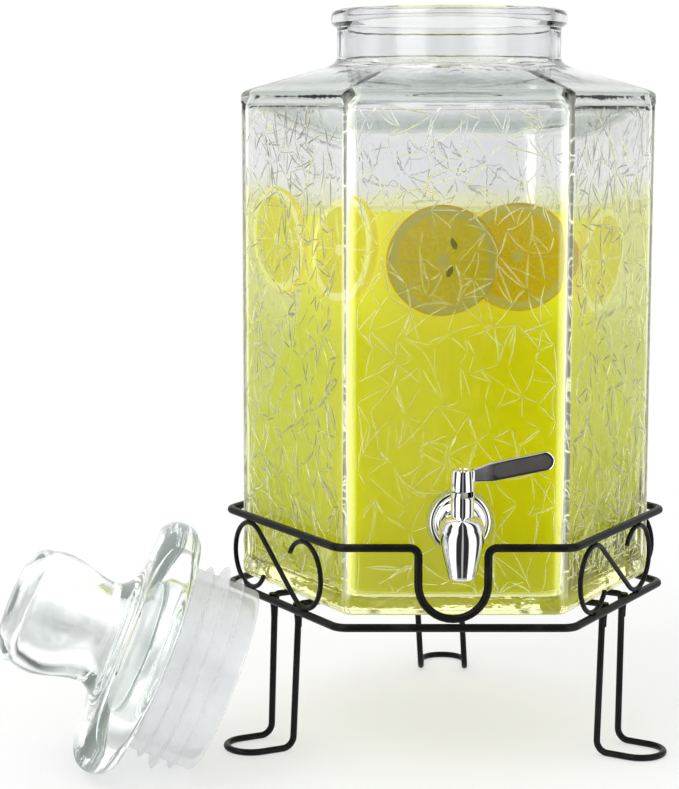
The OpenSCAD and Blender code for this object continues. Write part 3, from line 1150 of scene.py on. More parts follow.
@dataclass
class WireStand:
    """Two six-sided wire rings, five scrolls between them and three looped legs. Sizes in millimetres."""

    ring_r: float = 2.4
    corner_reach: float = 135.5
    upper_z: float = 135.6
    lower_z: float = 88.8
    corner_bend: float = 10.0
    dip_x: float = -1.5
    dip_half: float = 20.0
    dip_low: float = 94.1
    dip_bend: float = 5.0
    scroll_r: float = 1.5
    scroll_shift: float = -5.2
    lobe_r: float = 19.9
    reach: float = 33.5
    hook_end: float = 328.0
    leg_r: float = 2.0
    leg_half: float = 15.0
    foot_r: float = 114.0
    foot_tip: float = 149.5
    foot_twist: float = -2.7
    foot_z: float = 2.1
    support_r: float = 31.0
    support_z: float = 91.5
    top_r: float = 113.35
    top_bend: float = 3.0
    foot_bend: float = 7.0
    cut_share: float = 0.82
    cut_length: float = 0.3
    bead_v: float = 20.9
    first_bearing: float = 210.0
    scroll_bearings: dict[str, float] = field(
        default_factory=lambda: {
            "scroll_left_front": 210.0,
            "scroll_right_front": 330.0,
            "scroll_right_back": 30.0,
            "scroll_back": 90.0,
            "scroll_left_back": 150.0,
        }
    )
    leg_bearings: dict[str, float] = field(
        default_factory=lambda: {"leg_left": 210.0, "leg_right": 330.0, "leg_back": 90.0}
    )

    @property
    def flat_y(self) -> float:
        """Distance of a ring's flat side from the upright axis."""
        return self.corner_reach * math.cos(math.radians(30.0))

    def _corners(self, height: float) -> list[tuple[Vector, float]]:
        """The six corners from the front right one round to the front left one.

        Args:
            height: The ring's height.

        Returns:
            Each corner's point and bend radius, in metres.
        """
        made = []
        for bearing in (300, 0, 60, 120, 180, 240):
            angle = math.radians(bearing)
            spot = at(self.corner_reach * math.cos(angle), self.corner_reach * math.sin(angle), height)
            made.append((spot, self.corner_bend * MM))
        return made

    def _ring(self, name: str, height: float, dip: bool) -> bpy.types.Object:
        """One ring, with or without the dip under the tap.

        Args:
            name: The ring's name.
            height: Its height.
            dip: True bends it down under the tap.

        Returns:
            The finished ring.
        """
        front = -self.flat_y
        start = at(-50.0, front, height)
        run = WireRun(name, self.ring_r * MM, start, Vector((1, 0, 0)), sides=18)
        corners: list[tuple[Vector, float]] = []
        if dip:
            left, right = self.dip_x - self.dip_half, self.dip_x + self.dip_half
            corners += [
                (at(left, front, height), self.dip_bend * MM),
                (at(left, front, self.dip_low), self.dip_half * MM),
                (at(right, front, self.dip_low), self.dip_half * MM),
                (at(right, front, height), self.dip_bend * MM),
            ]
        corners += self._corners(height)
        corners.append((at(-50.6, front, height), 0.0))
        run.follow(corners)
        return run.loop_up()

    def _scroll(self, name: str, bearing: float) -> bpy.types.Object:
        """One N-shaped scroll with its weld beads.

        Args:
            name: The scroll's name.
            bearing: Bearing of the side that it stands in.

        Returns:
            The finished scroll.
        """
        turn = face_turn(bearing)
        middle = (self.upper_z + self.lower_z) / 2.0

        def spot(u: float, v: float) -> Vector:
            """A point of the scroll's flat plan in place."""
            return turn @ at(self.scroll_shift + u, -self.flat_y, middle + v)

        axis = turn.to_3x3() @ Vector((0, -1, 0))
        begin = 90.0 - math.degrees(math.asin(self.lobe_r / self.reach))
        sweep = math.radians(self.hook_end - begin)
        hook = math.radians(self.hook_end)
        touch = math.radians(begin)
        cut = self.cut_length * MM
        start = spot(-self.reach + self.lobe_r * math.cos(hook), self.lobe_r * math.sin(hook))
        heading = turn.to_3x3() @ Vector((math.sin(hook), 0, -math.cos(hook)))
        run = WireRun(name, self.scroll_r * MM, start, heading, sides=14)
        run.widen(self.cut_share)
        run.straight(start + heading * cut)
        run.widen(1.0 / self.cut_share)
        run.bend(spot(-self.reach, 0.0) + heading * cut, axis, -sweep)
        run.straight(spot(self.reach - self.lobe_r * math.cos(touch), -self.lobe_r * math.sin(touch)))
        run.bend(spot(self.reach, 0.0), axis, sweep)
        run.straight(run.place + run.heading * cut)
        run.widen(self.cut_share)
        wire = run.cut_off()
        welds = [(u, v) for u in (-self.reach, self.reach) for v in (self.bead_v, -self.bead_v)]
        beads = [
            weld_bead(f"{name}_bead_{count}", spot(u, v), (0.0030, 0.0016, 0.0014), 11 * count + int(bearing))
            for count, (u, v) in enumerate(welds)
        ]
        return joined([wire, *beads], name)

    def _leg(self, name: str, bearing: float) -> bpy.types.Object:
        """One leg: a closed loop with its foot on the table and its inner end under the jar.

        Args:
            name: The leg's name.
            bearing: Bearing of its foot before the twist.

        Returns:
            The finished leg.
        """
        turn = Matrix.Rotation(math.radians(bearing), 4, "Z")
        twist = Matrix.Rotation(math.radians(bearing + self.foot_twist), 4, "Z")
        half = self.leg_half
        start = turn @ at(70.0, half, self.support_z)
        run = WireRun(name, self.leg_r * MM, start, turn.to_3x3() @ Vector((1, 0, 0)), sides=16)
        run.follow(
            [
                (turn @ at(self.top_r, half, self.support_z), self.top_bend * MM),
                (twist @ at(self.foot_r, half, self.foot_z), self.foot_bend * MM),
                (twist @ at(self.foot_tip, half, self.foot_z), half * 0.99 * MM),
                (twist @ at(self.foot_tip, -half, self.foot_z), half * 0.99 * MM),
                (twist @ at(self.foot_r, -half, self.foot_z), self.foot_bend * MM),
                (turn @ at(self.top_r, -half, self.support_z), self.top_bend * MM),
                (turn @ at(self.support_r, -half, self.support_z), half * 0.99 * MM),
                (turn @ at(self.support_r, half, self.support_z), half * 0.99 * MM),
                (turn @ at(69.4, half, self.support_z), 0.0),
            ]
        )
        wire = run.loop_up()
        flares = []
        for side in (-1, 1):
            top = turn @ at(self.top_r + 0.4, side * half, self.support_z + 0.6)
            flare = WireRun(f"{name}_flare_{side}", 3.3 * MM, top, Vector((0, 0, -1)), sides=16)
            for drop, factor in ((1.6, 1.0), (2.2, 0.9), (2.6, 0.87), (3.6, 0.86), (4.5, 0.93)):
                flare.straight(flare.place + at(0, 0, -drop))
                flare.widen(factor)
            flares.append(flare.cut_off())
        return joined([wire, *flares], name)

    def build(self) -> None:
        """Makes the whole stand."""
        paint = WirePaint()
        upper = self._ring("upper_ring_wire", self.upper_z, True)
        mount(dress(upper, paint), Body.STAND, ["upper_ring"])
        lower = self._ring("lower_ring_wire", self.lower_z, False)
        mount(dress(lower, paint), Body.STAND, ["lower_ring"])
        for blank, bearings in (
            (self._scroll("scroll_blank", self.first_bearing), self.scroll_bearings),
            (self._leg("leg_blank", self.first_bearing), self.leg_bearings),
        ):
            for name, bearing in bearings.items():
                copy = self._turned_copy(blank, f"{name}_wire", bearing - self.first_bearing)
                mount(dress(copy, paint), Body.STAND, [name])
            bpy.data.objects.remove(blank)

    @staticmethod
    def _turned_copy(blank: bpy.types.Object, name: str, degrees: float) -> bpy.types.Object:
        """Copies a wire piece, with its own mesh, turned about the upright axis.

        Args:
            blank: The piece to copy.
            name: The copy's name.
            degrees: How far it is turned.

        Returns:
            The copy.
        """
        mesh = blank.data.copy()
        mesh.name = name
        mesh.transform(Matrix.Rotation(math.radians(degrees), 4, "Z"))
        piece = bpy.data.objects.new(name, mesh)
        bpy.context.scene.collection.objects.link(piece)
        return piece


# ---------------------------------------------------------------------------
# Jar and what it holds
# ---------------------------------------------------------------------------


@dataclass
class Section:
    """One level of the jar: a rounded hexagon that may be drawn towards a circle. Sizes in millimetres."""

    z: float
    apothem: float
    edge_r: float = 7.0
    roundness: float = 0.0
    circle_r: float = 68.0
    arc_points: int = 7
    flat_points: int = 11

    def ring(self) -> Ring:
        """The section's points, anticlockwise from the corner at bearing 0.

        Returns:
            The points, in metres.
        """
        corner_reach = (self.apothem - self.edge_r) / math.cos(math.radians(30.0))
        outline: list[tuple[float, float]] = []
        arcs: list[list[tuple[float, float]]] = []
        for corner in range(6):
            bearing = 60.0 * corner
            centre = (
                corner_reach * math.cos(math.radians(bearing)),
                corner_reach * math.sin(math.radians(bearing)),
            )
            arcs.append(arc(centre, self.edge_r, bearing - 30.0, bearing + 30.0, self.arc_points - 1))
        for corner in range(6):
            outline += arcs[corner]
            begin, end = arcs[corner][-1], arcs[(corner + 1) % 6][0]
            for step in range(1, self.flat_points + 1):
                share = step / (self.flat_points + 1)
                outline.append((begin[0] + (end[0] - begin[0]) * share, begin[1] + (end[1] - begin[1]) * share))
        points = []
        for x, y in outline:
            bearing = math.atan2(y, x)
            cx, cy = self.circle_r * math.cos(bearing), self.circle_r * math.sin(bearing)
            points.append(at(x + (cx - x) * self.roundness, y + (cy - y) * self.roundness, self.z))
        return points


@dataclass
class GlassJar:
    """The pressed-glass jar: smooth base, six veined faces, sloped shoulder, round neck and bead."""

    face: float = 110.3
    band: float = 110.75
    inner: float = 105.3
    inner_edge: float = 4.25
    floor: float = 103.6
    neck_r: float = 68.0
    bore_r: float = 62.3
    vein_low: float = 107.0
    vein_high: float = 386.0
    vein_half_width: float = 56.5
    vein_pitch: float = 10.5
    vein_limit: float = 59.5
    hole_r: float = 7.4
    tap_x: float = 2.3
    tap_z: float = 150.0
    seed: int = 41

    def _sections(self) -> list[Section]:
        """Every level from the underside, up the outside, over the bead and down the inside.

        Returns:
            The levels, in the order in which the skin is pulled.
        """
        outside = [
            (94.9, 88.0), (94.3, 99.0), (93.7, 103.2), (93.6, 105.2), (94.1, 107.6), (95.4, 109.5),
            (97.2, 110.5), (99.0, self.band), (103.0, self.band), (105.0, self.face), (240.0, self.face),
            (386.4, self.face), (387.8, self.band), (391.4, self.band), (392.9, 110.3), (394.1, 109.3),
            (395.2, 107.7), (396.1, 105.6),
        ]
        levels = [Section(z, apothem) for z, apothem in outside]
        low, high = (396.5, 104.4), (409.4, 73.8)
        for step in range(1, 7):
            share = step / 6.0
            levels.append(
                Section(low[0] + (high[0] - low[0]) * share, low[1], 7.0, share, high[1])
            )
        neck = [
            (410.9, 70.6), (412.8, 68.7), (415.2, self.neck_r), (424.0, self.neck_r), (431.6, self.neck_r),
            (432.8, 68.5), (433.8, 70.0), (435.3, 71.4), (437.8, 71.8), (440.4, 71.5), (442.3, 70.2),
            (443.3, 68.0), (443.6, 65.8), (443.2, 63.7), (442.0, 62.6), (440.0, self.bore_r),
            (424.0, self.bore_r), (410.5, self.bore_r), (407.8, 62.9), (406.4, 64.6), (405.6, 66.6),
        ]
        levels += [Section(z, 100.0, 7.0, 1.0, radius) for z, radius in neck]
        for step in range(1, 6):
            share = step / 6.0
            levels.append(Section(405.6 - 13.6 * share, 99.0, self.inner_edge, 1.0 - share, 66.6))
        inside = [
            (392.0, 99.0), (389.6, 102.6), (386.6, 104.7), (383.0, self.inner), (240.0, self.inner),
            (108.4, self.inner), (105.4, 104.4), (104.0, 102.4), (self.floor, 99.0), (self.floor, 90.0),
        ]
        levels += [Section(z, apothem, self.inner_edge) for z, apothem in inside]
        return levels

    def shell(self) -> bpy.types.Object:
        """The glass wall, with the hole for the tap's shank bored through the front face.

        Returns:
            The finished wall.
        """
        levels = self._sections()
        skin = Shaper("jar_glass_wall", levels[0].ring())
        for level in levels[1:]:
            skin.pull(level.ring())
        skin.cap()
        wall = skin.done(28.0)
        clear_selection()
        bpy.ops.mesh.primitive_cylinder_add(
            vertices=48,
            radius=self.hole_r * MM,
            depth=14.0 * MM,
            location=at(self.tap_x, -self.inner - 2.5, self.tap_z),
            rotation=(math.pi / 2.0, 0.0, 0.0),
        )
        drill = bpy.context.object
        select_only(wall)
        cut = wall.modifiers.new("shank hole", "BOOLEAN")
        cut.object = drill
        cut.solver = "EXACT"
        bpy.ops.object.modifier_apply(modifier=cut.name)
        bpy.data.objects.remove(drill)
        return smooth(wall, 28.0)

    def _vein_blank(self) -> bpy.types.Object:
        """One raised vein of unit length along X, rounded on top and tapered at its ends.

        Returns:
            The blank.
        """
        sides = ((-1.0, -0.6), (-0.62, 0.45), (0.0, 1.0), (0.62, 0.45), (1.0, -0.6))
        stations = ((-0.5, 0.12), (-0.40, 0.6), (-0.18, 0.95), (0.12, 1.0), (0.38, 0.62), (0.5, 0.12))
        skin: Optional[Shaper] = None
        for x, girth in stations:
            ring = [Vector((x, across * girth, up * (0.35 + 0.65 * girth) if up > 0 else up)) for across, up in sides]
            if skin is None:
                skin = Shaper("vein_blank", ring)
            else:
                skin.pull(ring)
        skin.cap()
        return skin.done(50.0)

    def _vein_lines(self, random_source: random.Random) -> list[tuple[Vector, Vector]]:
        """The two ends of each vein on a flat face, in millimetres.

        Args:
            random_source: Seeded chance.

        Returns:
            Pairs of points whose x runs across the face and y up it.
        """
        knots: dict[tuple[int, int], Vector] = {}
        columns = int(2 * self.vein_half_width / self.vein_pitch)
        rows = int((self.vein_high - self.vein_low) / self.vein_pitch)
        for column in range(columns + 1):
            for row in range(rows + 1):
                shift = 0.5 * self.vein_pitch * (row % 2)
                x = -self.vein_half_width + column * self.vein_pitch + shift
                y = self.vein_low + row * (self.vein_high - self.vein_low) / rows
                jitter = 0.62 * self.vein_pitch
                x = min(max(x + random_source.uniform(-jitter, jitter), -self.vein_half_width), self.vein_half_width)
                y = min(max(y + random_source.uniform(-jitter, jitter), self.vein_low), self.vein_high)
                knots[(column, row)] = Vector((x, y, 0.0))
        lines = []
        for (column, row), knot in knots.items():
            for across, up, chance in ((0, 1, 0.6), (1, 1, 0.42), (-1, 1, 0.36), (1, 0, 0.1), (0, 2, 0.22)):
                other = knots.get((column + across, row + up))
                if other is not None and random_source.random() < chance and (other - knot).length > 5.0:
                    lines.append((knot, other))
        return lines

    def veins(self, bearing: float, number: int) -> bpy.types.Object:
        """All raised veins of one face, copied from one blank.

        Args:
            bearing: The face's bearing in degrees.
            number: Counts the faces, for the name and the chance.

        Returns:
            The finished piece.
        """
        chance = random.Random(self.seed + number)
        blank = self._vein_blank()
        blank_points = [vert.co.copy() for vert in blank.data.vertices]
        blank_faces = [tuple(face.vertices) for face in blank.data.polygons]
        bpy.data.objects.remove(blank)
        turn = face_turn(bearing)
        points: list[Vector] = []
        faces: list[tuple[int, ...]] = []
        for begin, end in self._vein_lines(chance):
            along = end - begin
            length = along.length * chance.uniform(0.78, 1.04)
            width = chance.uniform(0.32, 0.62)
            height = chance.uniform(0.3, 0.5)
            bow = chance.uniform(-0.09, 0.09) * length
            lean = math.atan2(along.y, along.x)
            middle = (begin + end) / 2.0
            offset = len(points)
            for blank_point in blank_points:
                u = blank_point.x * length
                v = blank_point.y * width + bow * (1.0 - 4.0 * blank_point.x**2)
                x = middle.x + u * math.cos(lean) - v * math.sin(lean)
                z = middle.y + u * math.sin(lean) + v * math.cos(lean)
                x = min(max(x, -self.vein_limit), self.vein_limit)
                points.append(turn @ at(x, -(self.face + blank_point.z * height), z))
            faces += [tuple(offset + index for index in face) for face in blank_faces]
        mesh = bpy.data.meshes.new(f"jar_veins_{number}")
        mesh.from_pydata(points, [], faces)
        piece = bpy.data.objects.new(mesh.name, mesh)
        bpy.context.scene.collection.objects.link(piece)
        select_only(piece)
        bpy.ops.object.mode_set(mode="EDIT")
        bpy.ops.mesh.select_all(action="SELECT")
        bpy.ops.mesh.normals_make_consistent(inside=False)
        bpy.ops.object.mode_set(mode="OBJECT")
        return smooth(piece, 60.0)

    def build(self) -> None:
        """Makes the jar and its veins."""
        mount(dress(self.shell(), JarGlass()), Body.JAR, ["jar"])
        # The veins' faint yellow-white glow is a painted highlight on the raised veins.
        vein_glass = PressedGlass(label="vein glass", waviness=0.0002, glow=0.05, painted_glow_tint=(1.0, 1.0, 0.72))
        for number, bearing in enumerate((270.0, 330.0, 30.0, 90.0, 150.0, 210.0)):
            mount(dress(self.veins(bearing, number), vein_glass), Body.JAR)


@dataclass
class Lemonade:
    """The drink: a thin clear skin against the glass and a clouded core behind the slices."""

    skin_reach: float = 105.0
    core_reach: float = 76.0
    edge_r: float = 4.0
    floor: float = 103.9
    top: float = 330.0

    def _shell(self, name: str, levels: Sequence[tuple[float, float]], edge_r: float) -> bpy.types.Object:
        """A closed six-sided body.

        Args:
            name: Its name.
            levels: Height and half width of each level.
            edge_r: Radius of its upright edges.

        Returns:
            The finished body.
        """
        rings = [Section(z, reach, min(edge_r, reach * 0.5)).ring() for z, reach in levels]
        skin = Shaper(name, rings[0])
        for ring in rings[1:]:
            skin.pull(ring)
        skin.cap()
        return skin.done(30.0)

    def build(self) -> None:
        """Makes the drink as one piece with two finishes."""
        reach, top, floor = self.skin_reach, self.top, self.floor
        skin = self._shell(
            "lemonade_drink",
            [
                (floor, 88.0), (floor + 0.1, 98.7), (floor + 0.5, 101.6), (floor + 1.8, 103.8),
                (floor + 4.6, reach), (200.0, reach), (top - 2.0, reach), (top - 0.2, reach), (top, reach - 0.15),
                (top - 0.6, reach - 0.7), (top - 1.3, reach - 2.0), (top - 1.7, reach - 4.0), (top - 1.8, reach - 9.0),
            ],
            self.edge_r,
        )
        core = self._shell(
            "lemonade_cloud",
            [
                (floor + 0.6, 60.0), (floor + 0.8, 98.5), (floor + 2.3, 101.5), (floor + 5.0, 103.4),
                (floor + 12.0, 104.0), (floor + 60.0, 103.6), (190.0, 102.0), (262.0, self.core_reach + 2.0),
                (322.0, self.core_reach), (326.0, self.core_reach - 1.0), (327.5, self.core_reach - 4.0),
                (327.9, 30.0),
            ],
            18.0,
        )
        dress(skin, DrinkSkin())
        dress(core, DrinkCore())
        drink = joined([skin, core], "lemonade_drink")
        mount(drink, Body.JAR, ["lemonade"])


@dataclass
class LemonSlice:
    """One cut slice: peel, pith, raised membranes between sunk segments, and pips."""

    node: str
    bearing: float
    distance: float
    along: float
    height: float
    lean: float
    # pale picks a paler copy of the lemon finish with a stronger glow: painted light for the slices that are lit
    # through.
    pale: bool = False
    ripe: bool = False
    pips: Sequence[tuple[float, float, float]] = ()
    radius: float = 32.5
    thickness: float = 5.6
    segments: int = 10

    @property
    def seat(self) -> Matrix:
        """Puts the slice, drawn flat round the origin, in the drink.

        Returns:
            Its place as a matrix.
        """
        return (
            face_turn(self.bearing)
            @ Matrix.Translation(at(self.along, -self.distance, self.height))
            @ Matrix.Rotation(math.radians(90.0 + self.lean), 4, "X")
        )

    def _face_height(self, radius: float, bearing: float) -> float:
        """Height of the cut face above the slice's middle, in millimetres.

        Args:
            radius: Distance from the slice's middle, in millimetres.
            bearing: Direction from it, in radians.

        Returns:
            The height.
        """
        half = self.thickness / 2.0
        fold = abs((bearing * self.segments / (2.0 * math.pi)) % 1.0 - 0.5) * 2.0
        if radius > 28.5:
            return half - 0.15 * (radius - 28.5) / 2.0
        if radius < 2.5:
            return half - 0.1
        sunk = 0.0 if fold > 0.82 else 0.5 * math.sin(math.pi * min(1.0, (radius - 2.5) / 25.0)) + 0.12
        return half - sunk

    def build(self) -> None:
        """Makes the slice and its pips."""
        wobble = random.Random(int(self.bearing * 7 + self.height))
        phases = [wobble.uniform(0, 6.28) for _ in range(3)]
        steps = self.segments * 8
        radii = (1.2, 2.6, 5.0, 10.0, 16.0, 22.0, 26.4, 27.6, 28.8, 30.6)
        levels: list[tuple[float, int]] = [(radius, -1) for radius in radii]
        levels += [(31.7, -2), (32.3, -3), (32.5, 0), (32.3, 3), (31.7, 2)]
        levels += [(radius, 1) for radius in reversed(radii)]
        rim = {-2: -2.25, -3: -1.3, 0: 0.0, 3: 1.3, 2: 2.25}
        skin: Optional[Shaper] = None
        for radius, side in levels:
            ring = []
            for index in range(steps):
                bearing = 2.0 * math.pi * index / steps
                swell = 1.0 + 0.008 * math.sin(2 * bearing + phases[0])
                swell = swell + 0.005 * math.sin(5 * bearing + phases[1]) - 0.012
                up = rim[side] if side in rim else side * self._face_height(radius, bearing)
                reach = radius * (swell if radius > 20.0 else 1.0)
                ring.append(self.seat @ at(reach * math.cos(bearing), reach * math.sin(bearing), up))
            if skin is None:
                skin = Shaper(f"{self.node}_cut", ring)
            else:
                skin.pull(ring)
        skin.cap()
        piece = skin.done(38.0)
        self._plan(piece)
        # Painted light: the paler, brighter glowing copy for the slices on the side faces.
        if self.pale:
            finish = LemonFlesh(
                label="lemon slice, pale",
                flesh=(0.72, 0.66, 0.012),
                juice=(0.82, 0.78, 0.03),
                pith=(0.96, 0.95, 0.60),
                peel=(0.84, 0.76, 0.10),
                glow=0.5,
            )
        elif self.ripe:
            finish = LemonFlesh(
                label="lemon slice, ripe",
                flesh=(0.66, 0.44, 0.004),
                juice=(0.80, 0.60, 0.010),
                pith=(0.60, 0.54, 0.24),
                peel=(0.76, 0.46, 0.008),
                glow=0.3,
            )
        else:
            finish = LemonFlesh()
        mount(dress(piece, finish), Body.JAR, [self.node])
        if self.pips:
            mount(dress(self._pips(), PipSkin()), Body.JAR)

    def _plan(self, piece: bpy.types.Object) -> None:
        """Gives the slice a flat plan as its UV map, centred at one half.

        Args:
            piece: The slice.
        """
        back = self.seat.inverted()
        layer = piece.data.uv_layers.new(name="plan")
        across = 2.0 * self.radius * MM
        for loop in piece.data.loops:
            flat = back @ piece.data.vertices[loop.vertex_index].co
            layer.data[loop.index].uv = (flat.x / across + 0.5, flat.y / across + 0.5)

    def _pips(self) -> bpy.types.Object:
        """Pips lying half sunk in the cut face that faces the glass.

        Returns:
            The pips as one piece.
        """
        made = []
        for count, (x, y, angle) in enumerate(self.pips):
            clear_selection()
            bpy.ops.mesh.primitive_uv_sphere_add(segments=14, ring_count=9, radius=1.0)
            pip = bpy.context.object
            bpy.ops.object.mode_set(mode="EDIT")
            bpy.ops.mesh.select_all(action="SELECT")
            bpy.ops.transform.resize(value=(0.0017, 0.0036, 0.0013), center_override=(0, 0, 0))
            shape = bmesh.from_edit_mesh(pip.data)
            for vert in shape.verts:
                taper = 1.0 - 0.45 * max(0.0, vert.co.y / 0.0036)
                vert.co.x *= taper
                vert.co.z *= taper
            bmesh.update_edit_mesh(pip.data)
            bpy.ops.object.mode_set(mode="OBJECT")
            place = self.seat @ Matrix.Translation(at(x, y, self.thickness / 2.0 - 0.3))
            pip.data.transform(place @ Matrix.Rotation(math.radians(angle), 4, "Z"))
            made.append(smooth(pip, 60.0))
        return joined(made, f"{self.node}_pips")


# ---------------------------------------------------------------------------
# Tap
# ---------------------------------------------------------------------------


@dataclass
class Tap:
    """The chrome tap: body, collar and washer on the jar, and the lever with its cap. Sizes in millimetres."""

    x: float = 2.3
    y: float = -133.8
    z: float = 150.0
    spout_z: float = 121.5
    barrel_r: float = 6.75
    barrel_top: float = 171.4
    slot_depth: float = 2.8
    cap_r: float = 6.85
    cap_low: float = 171.9
    cap_high: float = 184.1
    lever_z: float = 179.5
    lever_rise: float = 11.6
    blade_r: float = 5.45
    blade_length: float = 47.0
    blade_half: float = 2.0
    inlay_r: float = 4.0
    inlay_start: float = 21.3

    @property
    def upright(self) -> Matrix:
        """The tap's upright axis, heights counted from the table."""
        return Matrix.Translation(at(self.x, self.y, 0.0))

    @property
    def shank(self) -> Matrix:
        """The shank's axis, with heights counted from the jar's axis towards the front."""
        return Matrix.Translation(at(self.x, 0.0, self.z)) @ Matrix.Rotation(math.radians(90.0), 4, "X")

    def _notch(self, radius: float, height: float, bearing: float) -> float:
        """Drops the barrel's rim where the lug of the cap travels.

        Args:
            radius: The point's radius, which plays no part.
            height: Its height.
            bearing: Its bearing in radians.

        Returns:
            Its height after the cut.
        """
        degrees = math.degrees(bearing)
        inside = degrees > 263.0 or degrees < 8.0
        return height - self.slot_depth if inside and height > self.barrel_top - 1.0 else height

    def body(self) -> bpy.types.Object:
        """Spout, bulb, barrel, neck and shank.

        Returns:
            The finished piece.
        """
        profile = [
            (6.1, 121.7), (6.7, self.spout_z), (7.4, 121.7), (7.85, 122.4), (8.2, 124.0), (8.8, 126.5), (9.8, 130.5),
            (10.9, 135.0), (11.8, 139.5), (12.5, 143.5), (12.85, 147.0), (12.85, 149.6), (12.5, 152.0),
            (11.7, 154.1), (10.5, 155.7), (9.0, 156.8), (7.6, 157.4), (6.8, 157.6), (self.barrel_r, 158.2),
            (self.barrel_r, 160.0), (self.barrel_r, 168.0), (self.barrel_r, 170.6), (6.55, 171.3),
            (6.3, self.barrel_top), (5.3, self.barrel_top), (5.0, 171.1),
            (5.0, 168.0), (5.0, 153.6), (6.2, 152.6), (6.2, 140.4), (3.8, 139.6), (3.8, 136.5), (5.8, 135.6),
            (5.8, 122.3),
        ]
        main = turned("tap_body_chrome", profile, self.upright, steps=80, hollow=True, trim=self._notch)
        flange = turned(
            "tap_neck",
            [
                (4.6, 92.4), (6.6, 92.3), (7.0, 92.8), (7.0, 115.3), (8.8, 115.3), (9.0, 115.6), (9.0, 117.4),
                (8.4, 118.6), (8.0, 120.2), (8.2, 122.4), (8.8, 124.0), (7.0, 124.6), (4.6, 124.6),
            ],
            self.shank,
            steps=56,
            hollow=True,
        )
        return joined([main, flange], "tap_body_chrome")

    def collar(self) -> bpy.types.Object:
        """The dished chrome plate behind the tap.

        Returns:
            The finished piece.
        """
        profile = [
            (7.05, 112.82), (16.9, 112.82), (17.5, 113.0), (17.7, 113.5), (17.65, 114.2), (17.2, 114.85),
            (16.4, 115.15), (15.3, 115.2), (14.3, 114.95), (13.4, 114.5), (12.2, 114.2), (10.2, 114.1),
            (9.4, 114.2), (7.05, 114.2),
        ]
        return turned("tap_collar_chrome", profile, self.shank, steps=96, hollow=True)

    def washer(self) -> bpy.types.Object:
        """The clear washer between the collar and the glass.

        Returns:
            The finished piece.
        """
        profile = [
            (7.05, 110.86), (18.5, 110.86), (19.1, 111.1), (19.3, 111.7), (19.2, 112.3), (18.8, 112.7),
            (18.2, 112.8), (7.05, 112.8),
        ]
        return turned("outer_washer_clear", profile, self.shank, steps=96, hollow=True)

    def cap(self) -> bpy.types.Object:
        """The handle's round cap, open below.

        Returns:
            The finished piece.
        """
        profile = [
            (1.0, 181.4), (5.1, 181.4), (5.4, 181.1), (5.4, 172.4), (5.7, self.cap_low), (6.4, self.cap_low),
            (6.75, 172.1), (self.cap_r, 172.6), (self.cap_r, 182.9), (6.7, 183.6), (6.3, 184.0),
            (5.7, self.cap_high), (4.9, 184.05), (4.6, 183.8), (4.5, 183.5), (3.2, 183.45), (3.0, 183.7),
            (2.6, 183.8), (1.0, 183.85),
        ]
        return turned("handle_cap_chrome", profile, self.upright, steps=80)

    @property
    def blade(self) -> Matrix:
        """Puts the lever's plan, drawn along X with its face up, on the cap.

        Returns:
            Its place as a matrix.
        """
        return (
            Matrix.Translation(at(self.x, self.y, self.lever_z))
            @ Matrix.Rotation(math.radians(-self.lever_rise), 4, "Y")
            @ Matrix.Rotation(math.radians(90.0), 4, "X")
        )

    def _blade_outline(self) -> list[tuple[float, float]]:
        """The lever's side outline: a narrow neck that swells to a long round-ended blade.

        Returns:
            Each point's distance along the blade and across it.
        """

        def half_width(s: float) -> float:
            """Half the blade's width at a distance from the cap's axis."""
            share = min(1.0, max(0.0, (s - 7.0) / 11.0))
            return 3.9 + (self.blade_r - 3.9) * share * share * (3.0 - 2.0 * share)

        lengths = [5.6, 7.0, 9.0, 11.0, 13.0, 15.0, 17.0, 19.0, 26.0, 34.0, 41.0]
        lower = [(s, -half_width(s)) for s in lengths]
        tip = arc((self.blade_length, 0.0), self.blade_r, -90.0, 90.0, 18)
        upper = [(s, half_width(s)) for s in reversed(lengths)]
        return lower + tip + upper

    def lever(self) -> bpy.types.Object:
        """The lever's blade with rounded edges and a sunk seat for its insert.

        Returns:
            The finished piece.
        """
        outline = self._blade_outline()
        pocket = self._inlay_outline(self.inlay_r + 0.12, len(outline))

        def ring(points: Sequence[tuple[float, float]], inset: float, height: float) -> Ring:
            """An outline drawn in by an amount, at a height through the blade.

            Args:
                points: The outline.
                inset: How far it is drawn in.
                height: Where it lies through the blade.

            Returns:
                The ring.
            """
            centre = 27.0
            made = []
            for s, v in points:
                toward = 1.0 if s < centre else -1.0
                edge = min(1.0, abs(s - centre) / 26.0)
                shrink = max(0.0, abs(v) - inset) * (1.0 if v > 0 else -1.0)
                made.append(self.blade @ at(s + toward * inset * edge**4, shrink, height))
            return made

        skin = Shaper("lever_arm_chrome", ring(outline, 0.9, -self.blade_half))
        for inset, height in (
            (0.35, -1.9), (0.08, -1.6), (0.0, -1.1), (0.0, 1.1), (0.1, 1.65), (0.35, 1.92), (0.75, 2.0), (0.95, 2.0),
        ):
            skin.pull(ring(outline, inset, height))
        well = self._inlay_outline(self.inlay_r + 0.02, len(outline))
        for edge, height in ((pocket, self.blade_half), (well, 1.85), (well, 1.0)):
            skin.pull([self.blade @ at(s, v, height) for s, v in edge])
        skin.cap()
        return skin.done(34.0)

